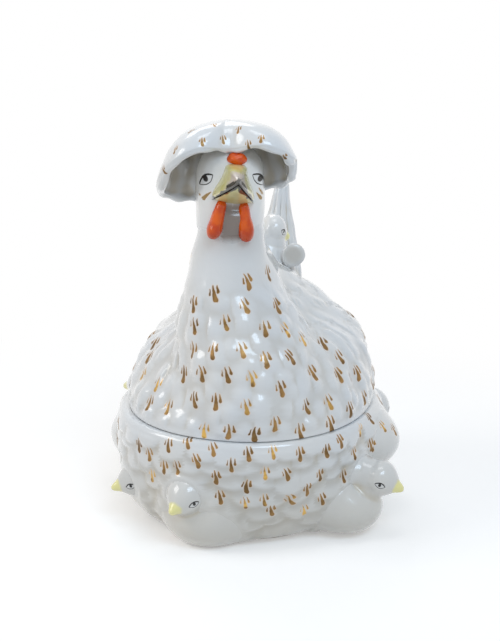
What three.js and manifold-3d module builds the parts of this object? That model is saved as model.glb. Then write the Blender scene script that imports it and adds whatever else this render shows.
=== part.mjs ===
// A porcelain tureen in the form of a nesting hen. The hen is the hollow cover, and the oval nest
// dish under her has chicks peeping out around it. Every piece that the potter casts or models by
// itself, and lutes on with slip, is a mesh of its own.
// Millimetres, +Z up. The hen looks along -Y, and +X is her left side. The origin is on the table,
// under the middle of the dish's oval. A turn is an angle about +Z, counted from the hen's front
// towards her left side.
import * as THREE from "three";
import { mergeVertices } from "three/addons/utils/BufferGeometryUtils.js";
import Module from "manifold-3d";

const wasm = await Module();
wasm.setup();
const rad = THREE.MathUtils.degToRad;

// Driving dimensions of the dish
const rimHalfWidth = 115; // outer edge of the rim, across the hen
const rimHalfLength = 130; // outer edge of the rim, along the hen
const rimHeight = 98; // table to the top of the rim
const rimWidth = 12; // flat seat for the cover, outer edge to mouth
const dishWall = 6;
const dishFloor = 7;
const footHeight = 3;
const footWidth = 8;
const footInset = 5; // outer edge of the foot ring inside the dish's underside

// Driving dimensions of the cover
const coverInset = 5.5; // the hen's lower edge lies this far inside the rim
const coverWall = 5.5;
const coverRise = 166; // seat to the top of the neck
const flangeHeight = 9; // how far the flange hangs into the dish's mouth
const flangeLap = 8; // how far the flange runs up inside the hen
const flangeWall = 4.5;
const mouthClearance = 1.5; // flange to the dish's mouth, all round
const lutedGap = 0.3; // between two pieces that touch

// Driving dimensions of the head
const headHalfWidth = 28.5;
const headHalfDepth = 30;
const headHeight = 72; // top of the neck to the crown
const headShift = 3; // the head sits a little to the hen's right
const headTurn = rad(20); // the hen looks a little to her left
const crestHalfWidth = 58;
const crestBack = 52; // crown to the back of the crest
const crestRise = 16; // crown to the top of the crest
const crestWall = 7;
const crestLean = rad(3); // the crest hangs lower on the hen's right
const crestLeftRise = 5; // how much higher its rim runs on her left
const crestShift = 3; // and it sits a little to her right of the head's middle
const faceTilt = rad(5); // beak, comb and wattles lean to her left at the top
const beakLength = 34;
const beakHalfWidth = 16.6;
const beakHeight = 32.5;
const mouthOpening = 0.6; // upper to lower half of the beak
const combWidth = 15;
const combHeight = 9;
const combDepth = 13;
const wattleLength = 33;
const wattleWidth = 11.5;
const wattleDepth = 17;
const wattleSpread = 8.25; // middle of the face to the middle of a wattle's top
const wattleSplay = rad(11); // a wattle's lower end stands out to its side
const wattleRise = 4; // a wattle starts this far above the beak's lower edge

// Driving dimensions of the back: tail, curled feathers and the chick that sits between
const tailHeight = 112; // how far the tail stands above its root
const tailHalfWidth = 24.5;
const tailHalfDepth = 22;
const tailInset = 44.5; // the tail's middle in front of the hen's back edge
const tailRoot = 22; // how deep the tail's form runs into the back
const curlRadius = 10.5;
const curlThickness = 7;
const curlReach = 30; // root to the middle of the round end
const curlSpread = 24; // the hen's middle to a curl's root
const curlTurn = rad(14);
const backChickLead = 46; // middle of the chick on the back to middle of the tail
const backChickHeight = 58;
const backChickHalfWidth = 16.5;
const backChickDip = rad(27); // how far its head looks down
const backChickLook = rad(32); // how far its head is turned backwards from the hen's left

// Driving dimensions of a chick in the nest
const chickHeadRadius = 17; // a common chick's, where the head comes out of the wall
const chickReach = 40; // from there to the tip of the beak
const breastHalfWidth = 33;
const breastHalfHeight = 24;
const breastDepth = 30; // how far a breast swells from the middle of its form
const tableClearance = 0.6; // glazed breasts stay off the table

const cutOverrun = 5; // a cutting form runs this far past what it cuts
const roundSides = 48; // facets round the dish and the hen
const headSides = 32;
const crestSides = 40;
const breastSides = 20;
const chickSides = 16;
const smallSides = 10;
const bisections = 40; // steps of halving that find a place on a curve

const seatHeight = rimHeight + lutedGap;
const coverHalfWidth = rimHalfWidth - coverInset;
const coverHalfLength = rimHalfLength - coverInset;
const neckTop = seatHeight + coverRise;
const crestHeight = headHeight + crestRise;
const tailSeat = coverHalfLength - tailInset;
const backChickSeat = tailSeat - backChickLead;

// Height above the foot, and the plan's size against the rim's, from the underside to the rim
const dishOutlineShares = [
  [0.0, 0.78],
  [0.03, 0.808],
  [0.1, 0.855],
  [0.22, 0.915],
  [0.38, 0.965],
  [0.58, 0.994],
  [0.8, 1.004],
  [0.94, 1.0],
  [1.0, 0.985],
];
const dishBluntness = 2.15; // exponent of the oval: 2 is an ellipse

// The dish's inside from the rim down. Lip: height above the floor against the hollow's, and how
// far the mouth has widened from the rim's flat towards the wall.
const lipShares = [
  [1.0, 0.0],
  [0.9, 0.0],
  [0.78, 0.55],
];
// Wall: the height share of the outside that it follows, and its own height above the floor
const innerWallShares = [
  [0.55, 0.506],
  [0.33, 0.304],
  [0.16, 0.147],
];
// Floor: height above its middle, and the plan's size against the rim's
const floorShares = [
  [0.04, 0.752],
  [0.0, 0.616],
];

// The hen's form is an egg-shaped body and a column of breast and neck that stands in its front
// and is turned a little to her left. Heights are above the seat, against the cover's rise.
// Body: height, half width, where it is widest, front and back
const bodyShares = [
  [0.0, 1.0, 0.0, 1.0, 1.0],
  [0.07, 0.998, 0.02, 0.975, 1.002],
  [0.13, 0.975, 0.05, 0.93, 0.988],
  [0.19, 0.942, 0.09, 0.88, 0.965],
  [0.25, 0.9, 0.13, 0.82, 0.935],
  [0.31, 0.85, 0.175, 0.76, 0.895],
  [0.37, 0.778, 0.225, 0.71, 0.84],
  [0.44, 0.69, 0.27, 0.67, 0.765],
  [0.505, 0.585, 0.28, 0.64, 0.665],
  [0.575, 0.45, 0.24, 0.62, 0.53],
  [0.64, 0.34, 0.12, 0.6, 0.37],
  [0.7, 0.28, -0.02, 0.58, 0.21],
  [0.77, 0.24, -0.18, 0.57, 0.06],
  [0.88, 0.2, -0.36, 0.56, -0.12],
  [1.0, 0.18, -0.46, 0.55, -0.28],
];
// Column: height, middle to the left, middle behind, half width, half depth
const columnShares = [
  [0.0, 0.11, -0.37, 0.6, 0.627],
  [0.16, 0.14, -0.378, 0.585, 0.643],
  [0.25, 0.132, -0.386, 0.573, 0.618],
  [0.34, 0.108, -0.394, 0.554, 0.578],
  [0.43, 0.07, -0.402, 0.524, 0.53],
  [0.52, 0.03, -0.41, 0.48, 0.474],
  [0.6, 0.005, -0.418, 0.428, 0.426],
  [0.66, -0.01, -0.426, 0.388, 0.402],
  [0.73, -0.022, -0.436, 0.35, 0.37],
  [0.8, -0.028, -0.45, 0.318, 0.33],
  [0.88, -0.033, -0.474, 0.288, 0.29],
  [1.0, -0.04, -0.498, 0.262, 0.261],
];
// A line through the inside of both: height, how far behind
const spineShares = [
  [0.0, -0.08],
  [0.4, -0.16],
  [0.66, -0.3],
  [0.83, -0.44],
  [1.0, -0.498],
];
const creaseSoftness = 15; // how widely the crease between body and column is rounded at most
// Crease: height, softness against the most: sharp at the seat, soft at the breast's shoulder
const creaseShares = [
  [0.0, 0.0],
  [0.22, 0.98],
  [0.34, 0.72],
  [0.44, 0.38],
  [0.56, 0.28],
  [1.0, 0.38],
];
const coverRows = 17;
const coverInnerRows = 9;
const coverHollowShare = 0.93; // how far up the hollow reaches

// Head: height share, half width, front and back shares
const headOutlineShares = [
  [0.0, 0.955, 0.96, 0.97],
  [0.12, 0.98, 1.05, 0.99],
  [0.3, 1.0, 1.07, 1.0],
  [0.5, 1.0, 1.05, 1.0],
  [0.68, 0.96, 1.03, 0.95],
  [0.83, 0.8, 0.95, 0.8],
  [0.94, 0.5, 0.62, 0.5],
  [1.0, 0.12, 0.14, 0.12],
];

const faceMiddleShare = 0.29; // the height on the head about which the face is tilted

// Crest: turn in degrees, rim's reach against the half width, rim's height against the crest's
const crestRimShares = [
  [0, 0.5, 0.765],
  [10, 0.53, 0.77],
  [22, 0.65, 0.79],
  [36, 0.82, 0.79],
  [50, 0.94, 0.71],
  [66, 0.99, 0.58],
  [84, 1.0, 0.42],
  [105, 1.0, 0.31],
  [128, 0.95, 0.245],
  [152, 0.88, 0.21],
  [180, 0.85, 0.2],
];
// Turn to her left, and how much of the left side's rise the rim has there
const crestLeftShares = [
  [0, 0],
  [30, 0],
  [80, 1],
  [130, 1],
  [180, 0],
];
// How full the crest's dome is on the way from its top to its rim: reach share, drop share
const crestDomeShares = [
  [0.0, 0.0],
  [0.22, 0.015],
  [0.45, 0.075],
  [0.66, 0.2],
  [0.83, 0.42],
  [0.94, 0.68],
  [1.0, 0.92],
  [0.985, 1.0],
];
const crestTopShare = 0.06;

// Each chick, angles in degrees. Breast: turn, height, swell past the wall against its depth.
// Head: turn, height, how far its root stands out against the reach. Size: its head's radius and
// reach against the common ones. Then where it looks, as a turn, and how far down.
const chickShares = [
  { name: "chick_front", breast: [-5, 0.2, 0.58], head: [-9.7, 0.463, 0.0], size: [0.88, 0.6], look: -16, dip: 20 },
  { name: "chick_left_front", breast: [68, 0.22, 1.12], head: [72.5, 0.505, 0.525], size: [0.93, 0.59], look: 79, dip: 18 },
  { name: "chick_right_front", breast: [-46, 0.34, -0.05], head: [-46, 0.4, -0.14], size: [0.82, 0.61], look: -58, dip: 17 },
  { name: "chick_right_back", breast: [-89, 0.54, 0.6], head: [-110, 0.84, 0.275], size: [0.91, 0.72], look: -106, dip: 18 },
  { name: "chick_left_back", breast: [92, 0.66, 0.72], head: [117, 0.78, -0.085], size: [0.97, 0.68], look: 152, dip: 14 },
  { name: "chick_back_right", breast: [-146, 0.2, 0.5], head: [-149, 0.458, 0.15], size: [0.94, 0.65], look: -158, dip: 18 },
  { name: "chick_back_left", breast: [150, 0.2, 0.55], head: [155, 0.462, 0.2], size: [0.94, 0.65], look: 166, dip: 16 },
];

// A chick's head from inside the wall to the tip of the beak: distance and radius shares
const chickHeadShares = [
  [-0.42, 0.72],
  [-0.22, 0.95],
  [0.0, 1.03],
  [0.16, 1.0],
  [0.32, 0.89],
  [0.46, 0.73],
  [0.58, 0.57],
  [0.7, 0.42],
  [0.84, 0.31],
  [0.95, 0.22],
  [1.0, 0.08],
];

const throatShare = 0.92; // the throat's half width against the head's

const white = { color: 0xe9ecec, roughness: 0.12, metalness: 0.0 };
const bareClay = { color: 0xd8d2c4, roughness: 0.8, metalness: 0.0 };
const red = { color: 0xd9481c, roughness: 0.15, metalness: 0.0 };
const yellow = { color: 0xd9cc7c, roughness: 0.15, metalness: 0.0 };

// Reads a row of a table of shares at any place along its first column, on a smooth curve.
function readRow(table, at) {
  const last = table.length - 1;
  if (at <= table[0][0]) return table[0];
  if (at >= table[last][0]) return table[last];
  let row = 0;
  while (table[row + 1][0] < at) row++;
  const before = table[Math.max(row - 1, 0)];
  const from = table[row];
  const to = table[row + 1];
  const after = table[Math.min(row + 2, last)];
  const span = to[0] - from[0];
  const t = (at - from[0]) / span;
  return from.map((start, column) => {
    const slopeFrom = ((to[column] - before[column]) / (to[0] - before[0])) * span;
    const slopeTo = ((after[column] - start) / (after[0] - from[0])) * span;
    return (
      start * (1 + 2 * t) * (1 - t) ** 2 +
      slopeFrom * t * (1 - t) ** 2 +
      to[column] * t * t * (3 - 2 * t) +
      slopeTo * t * t * (t - 1)
    );
  });
}

// A point of an oval that may be longer behind its middle than before it.
function ovalPoint(turn, halfWidth, front, back, bluntness) {
  const side = Math.sin(turn);
  const ahead = Math.cos(turn);
  const power = 2 / bluntness;
  const middle = (back - front) / 2;
  const halfLength = (back + front) / 2;
  return [
    halfWidth * Math.sign(side) * Math.abs(side) ** power,
    middle - halfLength * Math.sign(ahead) * Math.abs(ahead) ** power,
  ];
}

function ovalRing(sides, height, halfWidth, front, back, bluntness = 2) {
  return Array.from({ length: sides }, (_, i) => {
    const [x, y] = ovalPoint((i / sides) * 2 * Math.PI, halfWidth, front, back, bluntness);
    return [x, y, height];
  });
}

// Joins rings of points into one closed body, with a point in the middle of each end.
function bodyOfRings(rings) {
  const sides = rings[0].length;
  const middleOf = (ring) => [0, 1, 2].map((k) => ring.reduce((sum, p) => sum + p[k], 0) / sides);
  const points = [middleOf(rings[0]), ...rings.flat(), middleOf(rings[rings.length - 1])];
  const at = (ring, i) => 1 + ring * sides + (i % sides);
  const faces = [];
  for (let i = 0; i < sides; i++) {
    faces.push(0, at(0, i + 1), at(0, i));
    for (let ring = 0; ring + 1 < rings.length; ring++) {
      faces.push(at(ring, i), at(ring, i + 1), at(ring + 1, i + 1));
      faces.push(at(ring, i), at(ring + 1, i + 1), at(ring + 1, i));
    }
    faces.push(points.length - 1, at(rings.length - 1, i), at(rings.length - 1, i + 1));
  }
  return new THREE.BufferGeometry()
    .setAttribute("position", new THREE.Float32BufferAttribute(points.flat(), 3))
    .setIndex(faces);
}

function solidOf(geometry) {
  const bare = geometry.clone();
  bare.deleteAttribute("normal");
  bare.deleteAttribute("uv");
  const merged = mergeVertices(bare, 1e-4);
  return new wasm.Manifold(
    new wasm.Mesh({
      numProp: 3,
      vertProperties: merged.attributes.position.array,
      triVerts: new Uint32Array(merged.index.array),
    }),
  );
}

// The largest single body of a cut, without the crumbs that a cut can leave.
function geometryOf(solid) {
  const largest = solid.decompose().reduce((a, b) => (a.volume() > b.volume() ? a : b));
  const mesh = largest.getMesh();
  return new THREE.BufferGeometry()
    .setAttribute("position", new THREE.BufferAttribute(mesh.vertProperties, 3))
    .setIndex(new THREE.BufferAttribute(mesh.triVerts, 1))
    .toNonIndexed();
}

function ellipsoid(halfWidth, halfDepth, halfHeight, sides) {
  const ball = new THREE.SphereGeometry(1, sides, Math.round(sides / 2));
  return ball.rotateX(Math.PI / 2).scale(halfWidth, halfDepth, halfHeight);
}

// The dish's wall at a turn and a share of the height, grown outwards where asked.
function dishPoint(turn, share, grow = 0) {
  const size = readRow(dishOutlineShares, share)[1];
  return ovalPoint(
    turn,
    rimHalfWidth * size + grow,
    rimHalfLength * size + grow,
    rimHalfLength * size + grow,
    dishBluntness,
  );
}

const dishHeightAt = (share) => footHeight + (rimHeight - footHeight) * share;

function dishRing(share, grow, height = dishHeightAt(share)) {
  return Array.from({ length: roundSides }, (_, i) => [
    ...dishPoint((i / roundSides) * 2 * Math.PI, share, grow),
    height,
  ]);
}

function makeDish() {
  const outside = dishOutlineShares.map(([share]) => dishRing(share, 0));
  const mouth = rimHalfWidth - rimWidth;
  const mouthLong = rimHalfLength - rimWidth;
  const floorTop = footHeight + dishFloor;
  const hollow = rimHeight - floorTop;
  const lip = lipShares.map(([rise, easeOut]) => {
    const widen = easeOut * (rimWidth - dishWall);
    const height = floorTop + hollow * rise;
    return ovalRing(roundSides, height, mouth + widen, mouthLong + widen, mouthLong + widen, dishBluntness);
  });
  const wall = innerWallShares.map(([share, rise]) => dishRing(share, -dishWall, floorTop + hollow * rise));
  const floor = floorShares.map(([rise, size]) => {
    const across = rimHalfWidth * size;
    const along = rimHalfLength * size;
    return ovalRing(roundSides, floorTop + hollow * rise, across, along, along, dishBluntness);
  });
  return bodyOfRings([...outside, ...lip, ...wall, ...floor]);
}

// The whole dish as one solid form, a little too large, for cutting what is luted to it. It runs
// on below the table, so that nothing reaches under the dish, and above the rim, so that the
// cover has a free way up.
function makeDishCutter() {
  const rings = dishOutlineShares.map(([share]) => dishRing(share, lutedGap));
  const above = dishRing(1, lutedGap, rimHeight + coverRise);
  return bodyOfRings([dishRing(0, lutedGap, -cutOverrun), ...rings, above]);
}

function makeFootRing() {
  const size = dishOutlineShares[0][1];
  const across = rimHalfWidth * size - footInset;
  const along = rimHalfLength * size - footInset;
  const path = new THREE.Shape(ovalOutline(across, along));
  path.holes.push(new THREE.Path(ovalOutline(across - footWidth, along - footWidth)));
  return new THREE.ExtrudeGeometry(path, { depth: footHeight - lutedGap, bevelEnabled: false });
}

function ovalOutline(halfWidth, halfLength) {
  return Array.from({ length: roundSides }, (_, i) => {
    const turn = (i / roundSides) * 2 * Math.PI;
    return new THREE.Vector2(...ovalPoint(turn, halfWidth, halfLength, halfLength, dishBluntness));
  });
}

// How far a ray from a point inside an egg-shaped section runs to its edge.
function reachInEgg(turn, from, egg) {
  let near = 0;
  let far = 4 * coverHalfLength;
  for (let step = 0; step < bisections; step++) {
    const reach = (near + far) / 2;
    const x = (from.x + reach * Math.sin(turn) - egg.x) / egg.wide;
    const behind = from.y - reach * Math.cos(turn) - egg.y;
    const y = behind / (behind < 0 ? egg.ahead : egg.behind);
    if (Math.abs(x) ** egg.bluntness + Math.abs(y) ** egg.bluntness < 1) near = reach;
    else far = reach;
  }
  return near;
}

// The larger of two lengths, with a soft change from one to the other.
function softMax(a, b, softness) {
  const blend = Math.max(softness - Math.abs(a - b), 0) / softness;
  return Math.max(a, b) + (blend * blend * softness) / 4;
}

// The hen's skin at a turn and a share of the cover's rise, moved inwards where asked.
function coverPoint(turn, share, inward = 0) {
  const [, wide, widest, front, back] = readRow(bodyShares, share);
  const [, aside, middle, columnWide, columnDeep] = readRow(columnShares, share);
  const from = {
    x: (coverHalfWidth * aside) / 2,
    y: coverHalfLength * readRow(spineShares, share)[1],
  };
  const body = {
    x: 0,
    y: coverHalfLength * widest,
    wide: coverHalfWidth * wide,
    ahead: coverHalfLength * (front + widest),
    behind: coverHalfLength * (back - widest),
    bluntness: 2 + (dishBluntness - 2) * (1 - share),
  };
  const column = {
    x: coverHalfWidth * aside,
    y: coverHalfLength * middle,
    wide: coverHalfWidth * columnWide,
    ahead: coverHalfLength * columnDeep,
    behind: coverHalfLength * columnDeep,
    bluntness: 2,
  };
  const softness = creaseSoftness * readRow(creaseShares, share)[1] + lutedGap;
  const reach = softMax(reachInEgg(turn, from, body), reachInEgg(turn, from, column), softness);
  return [
    from.x + (reach - inward) * Math.sin(turn),
    from.y - (reach - inward) * Math.cos(turn),
  ];
}

function coverRing(share, inward, height = seatHeight + coverRise * share) {
  return Array.from({ length: roundSides }, (_, i) => [
    ...coverPoint((i / roundSides) * 2 * Math.PI, share, inward),
    height,
  ]);
}

function makeCover() {
  const outside = Array.from({ length: coverRows + 1 }, (_, i) => coverRing(i / coverRows, 0));
  // The inside follows the skin a wall's thickness below it.
  const dropShare = coverWall / coverRise;
  const inside = Array.from({ length: coverInnerRows + 1 }, (_, i) => {
    const share = (coverHollowShare * (coverInnerRows - i)) / coverInnerRows;
    return coverRing(Math.min(share + dropShare, 1), coverWall, seatHeight + coverRise * share);
  });
  return bodyOfRings([...inside, ...outside]);
}

function makeCoverCutter(inward = 0) {
  const rings = Array.from({ length: coverRows + 1 }, (_, i) => coverRing(i / coverRows, inward));
  return bodyOfRings(rings);
}

// A ring that hangs in the dish's mouth and keeps the cover from sliding.
function makeFlange() {
  const outer = [
    rimHalfWidth - rimWidth - mouthClearance,
    rimHalfLength - rimWidth - mouthClearance,
  ];
  const shoulder = [
    coverHalfWidth - coverWall - lutedGap,
    coverHalfLength - coverWall - lutedGap,
  ];
  const ring = (size, height, inward = 0) =>
    ovalRing(roundSides, height, size[0] - inward, size[1] - inward, size[1] - inward, dishBluntness);
  const foot = rimHeight - flangeHeight;
  const top = rimHeight + flangeLap;
  const rows = [
    ring(outer, foot, flangeWall),
    ring(outer, foot),
    ring(outer, seatHeight),
    ring(shoulder, seatHeight + lutedGap),
    ring(shoulder, seatHeight + lutedGap * 2),
    ring(outer, top),
    ring(outer, top, flangeWall),
  ];
  const skin = bodyOfTube(rows);
  return geometryOf(solidOf(skin).subtract(solidOf(makeCover())));
}

// Joins rings of points into a ring-shaped body: the last ring meets the first.
function bodyOfTube(rings) {
  const sides = rings[0].length;
  const points = rings.flat();
  const at = (ring, i) => (ring % rings.length) * sides + (i % sides);
  const faces = [];
  for (let i = 0; i < sides; i++)
    for (let ring = 0; ring < rings.length; ring++) {
      faces.push(at(ring, i), at(ring, i + 1), at(ring + 1, i + 1));
      faces.push(at(ring, i), at(ring + 1, i + 1), at(ring + 1, i));
    }
  return new THREE.BufferGeometry()
    .setAttribute("position", new THREE.Float32BufferAttribute(points.flat(), 3))
    .setIndex(faces);
}

// The head and what is on it are made in the head's own frame, which looks along -Y and stands on
// the middle of the neck's top.
const headMiddle = coverHalfLength * columnShares[columnShares.length - 1][2];

function onHead(geometry) {
  return geometry.rotateZ(headTurn).translate(-headShift, headMiddle, neckTop + lutedGap);
}

// Beak, comb and wattles are turned about a low place on the face before they go onto the head.
function onFace(geometry) {
  const middle = headHeight * faceMiddleShare;
  return onHead(geometry.translate(0, 0, -middle).rotateY(faceTilt).translate(0, 0, middle));
}

function headRings(grow = 0) {
  return headOutlineShares.map(([share, wide, front, back]) =>
    ovalRing(
      headSides,
      headHeight * share,
      headHalfWidth * wide + grow,
      headHalfDepth * front + grow,
      headHalfDepth * back + grow,
    ),
  );
}

function makeHead() {
  return onHead(bodyOfRings(headRings()));
}

// The head, a little too large and running on below, for cutting what is luted to it.
function makeHeadCutter() {
  const rings = headRings(lutedGap);
  const below = rings[0].map(([x, y]) => [x, y, -cutOverrun]);
  const above = rings[rings.length - 1].map(([x, y, z]) => [x, y, z + lutedGap]);
  return onHead(bodyOfRings([below, ...rings, above]));
}

function crestRing(reachShare, dropShare, inward) {
  return Array.from({ length: crestSides }, (_, i) => {
    const turn = (i / crestSides) * 2 * Math.PI;
    const side = THREE.MathUtils.radToDeg(Math.atan2(Math.sin(turn), Math.cos(turn)));
    const [, reachHere, heightHere] = readRow(crestRimShares, Math.abs(side));
    const rimReach = crestHalfWidth * reachHere;
    const rimHeightHere = crestHeight * heightHere + crestLeftRise * readRow(crestLeftShares, side)[1];
    const behind = Math.max(-Math.cos(turn), 0) ** 2;
    const reach = rimReach * (1 - behind * (1 - crestBack / crestHalfWidth)) - inward * reachShare;
    const top = crestHeight - inward * (1 - dropShare);
    const x = Math.sin(turn) * reach * reachShare;
    const y = -Math.cos(turn) * reach * reachShare;
    const height = top - (top - rimHeightHere) * dropShare + x * Math.tan(crestLean);
    return [x - crestShift, y, height];
  });
}

// The crest's shell before it is fitted to the head. Its top is a small flat, not a point.
function makeCrestShell(grow = 0) {
  const steps = crestDomeShares.map(([reach, drop]) => [Math.max(reach, crestTopShare), drop]);
  const inside = steps.map(([reach, drop]) => crestRing(reach, drop, crestWall + grow));
  const outside = steps.map(([reach, drop]) => crestRing(reach, drop, -grow)).reverse();
  return solidOf(onHead(bodyOfRings([...inside, ...outside])));
}

function makeCrest() {
  return geometryOf(makeCrestShell().subtract(solidOf(makeHeadCutter())));
}

// Where the face's surface lies: forward reach of the head at a share of its height.
const faceReach = (share) => headHalfDepth * readRow(headOutlineShares, share)[2];

// Both halves of the beak come from one cone, split along the line of the mouth.
const beakTopShare = 0.765;
const beakRootShare = beakTopShare - beakHeight / headHeight;
const beakTipShare = 0.64;
const beakTip = { ahead: faceReach(beakTopShare) + beakLength, height: headHeight * beakTipShare };
const beakDroop = 1.5; // exponent of the curve from root to tip: 1 is straight
const mouthTipShare = 0.628; // where the mouth's line meets the tip, on the head's height
const mouthDropShare = 0.56; // how far the mouth's corners lie under its tip, of the beak's height
const beakFlankShare = 0.6; // from this sine of the turn on, a ring has its full width
// The beak's width from its lower edge, -1, to its upper edge, 1: a rounded wedge
const beakWidthShares = [
  [-1.0, 0.62],
  [-0.86, 0.9],
  [-0.62, 1.0],
  [-0.3, 0.93],
  [0.1, 0.74],
  [0.5, 0.6],
  [0.85, 0.52],
  [1.0, 0.46],
];

function makeBeakForm(grow = 0) {
  const rootAhead = headHalfDepth / 2;
  const middleHeight = (headHeight * (beakTopShare + beakRootShare)) / 2;
  // Distance share from root to tip, size share, droop share
  const stationShares = [
    [0.0, 1.08],
    [0.3, 1.0],
    [0.52, 0.8],
    [0.7, 0.56],
    [0.84, 0.36],
    [0.94, 0.2],
    [1.0, 0.06],
  ];
  const rings = stationShares.map(([along, size]) => {
    const ahead = rootAhead + (beakTip.ahead - rootAhead) * along;
    const height = middleHeight + (beakTip.height - middleHeight) * along ** beakDroop;
    return Array.from({ length: smallSides * 2 }, (_, i) => {
      const turn = (i / (smallSides * 2)) * 2 * Math.PI;
      const up = -Math.cos(turn);
      const side = Math.sin(turn);
      const flank = 1 - (1 - Math.min(Math.abs(side) / beakFlankShare, 1)) ** 2;
      const wide = beakHalfWidth * size * readRow(beakWidthShares, up)[1];
      return [
        Math.sign(side) * flank * (wide + grow),
        -ahead - grow * along,
        height + up * ((beakHeight / 2) * size + grow),
      ];
    });
  });
  return bodyOfRings(rings);
}

// A wedge that holds all below the mouth's line, which drops on both sides of the tip.
function makeMouthWedge(gap) {
  const wide = beakHalfWidth + cutOverrun;
  const slope = (mouthDropShare * beakHeight) / beakHalfWidth;
  const tip = headHeight * mouthTipShare - gap;
  const low = headHeight * beakRootShare - beakHeight;
  const outline = new THREE.Shape([
    new THREE.Vector2(-wide, low),
    new THREE.Vector2(wide, low),
    new THREE.Vector2(wide, tip - wide * slope),
    new THREE.Vector2(0, tip),
    new THREE.Vector2(-wide, tip - wide * slope),
  ]);
  const depth = beakTip.ahead + cutOverrun;
  return new THREE.ExtrudeGeometry(outline, { depth, bevelEnabled: false }).rotateX(Math.PI / 2);
}

function makeBeak(half) {
  const form = solidOf(onFace(makeBeakForm()));
  const cut =
    half === "upper"
      ? form.subtract(solidOf(onFace(makeMouthWedge(0))))
      : form.intersect(solidOf(onFace(makeMouthWedge(mouthOpening))));
  return geometryOf(cut.subtract(solidOf(makeHeadCutter())));
}

// The comb sits low on the brow, right above the beak.
const combSeatShare = 0.795;

function makeComb() {
  const form = ellipsoid(combWidth / 2, combDepth / 2, combHeight / 2, smallSides);
  const height = headHeight * combSeatShare + combHeight / 3;
  const solid = solidOf(onFace(form.translate(0, -faceReach(combSeatShare) + combDepth / 6, height)));
  return geometryOf(
    solid
      .subtract(solidOf(makeHeadCutter()))
      .subtract(makeCrestShell(lutedGap))
      .subtract(solidOf(onFace(makeBeakForm(lutedGap)))),
  );
}

// A wattle is a flat drop that hangs from the lower corner of the beak, against throat and neck.
const wattleSeatShare = 0.2; // the height on the head where its middle lies on the face
const wattleSinkShare = 0.12; // how far its middle lies inside the face, of its depth

function makeWattle(side) {
  // Distance share from the top down, size share
  const stationShares = [
    [0.0, 0.3],
    [0.08, 0.62],
    [0.3, 0.82],
    [0.6, 1.0],
    [0.85, 0.86],
    [0.97, 0.45],
    [1.0, 0.12],
  ];
  const rings = stationShares
    .map(([down, size]) => {
      const height = -wattleLength * down;
      const depth = (wattleDepth / 2) * size;
      return ovalRing(smallSides, height, (wattleWidth / 2) * size, depth, depth);
    })
    .reverse();
  const form = bodyOfRings(rings);
  const top = headHeight * beakRootShare + wattleRise;
  const ahead = faceReach(wattleSeatShare) - wattleDepth * wattleSinkShare;
  form.rotateY(-wattleSplay * side).translate(wattleSpread * side, -ahead, top);
  return geometryOf(
    solidOf(onFace(form))
      .subtract(solidOf(makeHeadCutter()))
      .subtract(solidOf(onFace(makeBeakForm(lutedGap))))
      .subtract(solidOf(makeCoverCutter(-lutedGap))),
  );
}

// Height of the middle of the back at a place behind the hen's middle.
function backHeight(behind) {
  let low = 0;
  let high = 1;
  for (let step = 0; step < bisections; step++) {
    const share = (low + high) / 2;
    if (coverHalfLength * readRow(bodyShares, share)[4] > behind) low = share;
    else high = share;
  }
  return seatHeight + coverRise * low;
}

// The tail stands on the back as a bundle of upright ribs.
const tailBase = backHeight(tailSeat) - tailRoot;
const ribCount = 12;
const ribDepthShare = 0.1; // how far a rib stands out, of the tail's half width
// Height share, half width, half depth, backward lean as a share of the height
const tailShares = [
  [0.0, 1.0, 1.1, 0.0],
  [0.18, 1.0, 1.05, 0.005],
  [0.36, 0.9, 0.86, 0.02],
  [0.55, 0.7, 0.68, 0.045],
  [0.74, 0.48, 0.52, 0.07],
  [0.88, 0.33, 0.4, 0.085],
  [0.96, 0.25, 0.3, 0.09],
  [1.0, 0.14, 0.16, 0.095],
];

function makeTailForm(grow = 0) {
  const height = tailHeight + tailRoot;
  const rings = tailShares.map(([share, wide, deep, lean]) =>
    Array.from({ length: ribCount * 4 }, (_, i) => {
      const turn = (i / (ribCount * 4)) * 2 * Math.PI;
      const rib = 1 + ribDepthShare * Math.cos(turn * ribCount);
      return [
        Math.sin(turn) * (tailHalfWidth * wide * rib + grow),
        tailSeat + height * lean - Math.cos(turn) * (tailHalfDepth * deep * rib + grow),
        tailBase + height * share + grow * (share - 0.5),
      ];
    }),
  );
  return bodyOfRings(rings);
}

function makeTail() {
  return geometryOf(solidOf(makeTailForm()).subtract(solidOf(makeCoverCutter(-lutedGap))));
}

// A short feather that curls out beside the tail and ends in a round spoon.
// From its root: aside and ahead against its radius, up against its reach.
const curlBendShares = [0.35, 0.2, 0.5];
const curlEndShares = [0.8, 1.15, 0.88];

function makeCurlForm(side, grow = 0) {
  const height = backHeight(backChickSeat) - 2 * coverWall; // the back falls away to its sides
  const root = new THREE.Vector3(side * curlSpread, backChickSeat, height);
  const [bend, reach] = [curlBendShares, curlEndShares].map(
    ([aside, ahead, up]) => new THREE.Vector3(side * curlRadius * aside, -curlRadius * ahead, curlReach * up),
  );
  const stem = new THREE.QuadraticBezierCurve3(root, root.clone().add(bend), root.clone().add(reach));
  const half = curlThickness / 2 + grow;
  const shape = new THREE.Shape(
    Array.from({ length: smallSides }, (_, i) => {
      const turn = (i / smallSides) * 2 * Math.PI;
      return new THREE.Vector2(Math.cos(turn) * half, Math.sin(turn) * half);
    }),
  );
  const rod = new THREE.ExtrudeGeometry(shape, { extrudePath: stem, steps: 5, bevelEnabled: false });
  const spoon = ellipsoid(curlRadius + grow, half, curlRadius + grow, chickSides);
  spoon.rotateZ(curlTurn * side).translate(...root.clone().add(reach).toArray());
  return solidOf(rod).add(solidOf(spoon));
}

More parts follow.
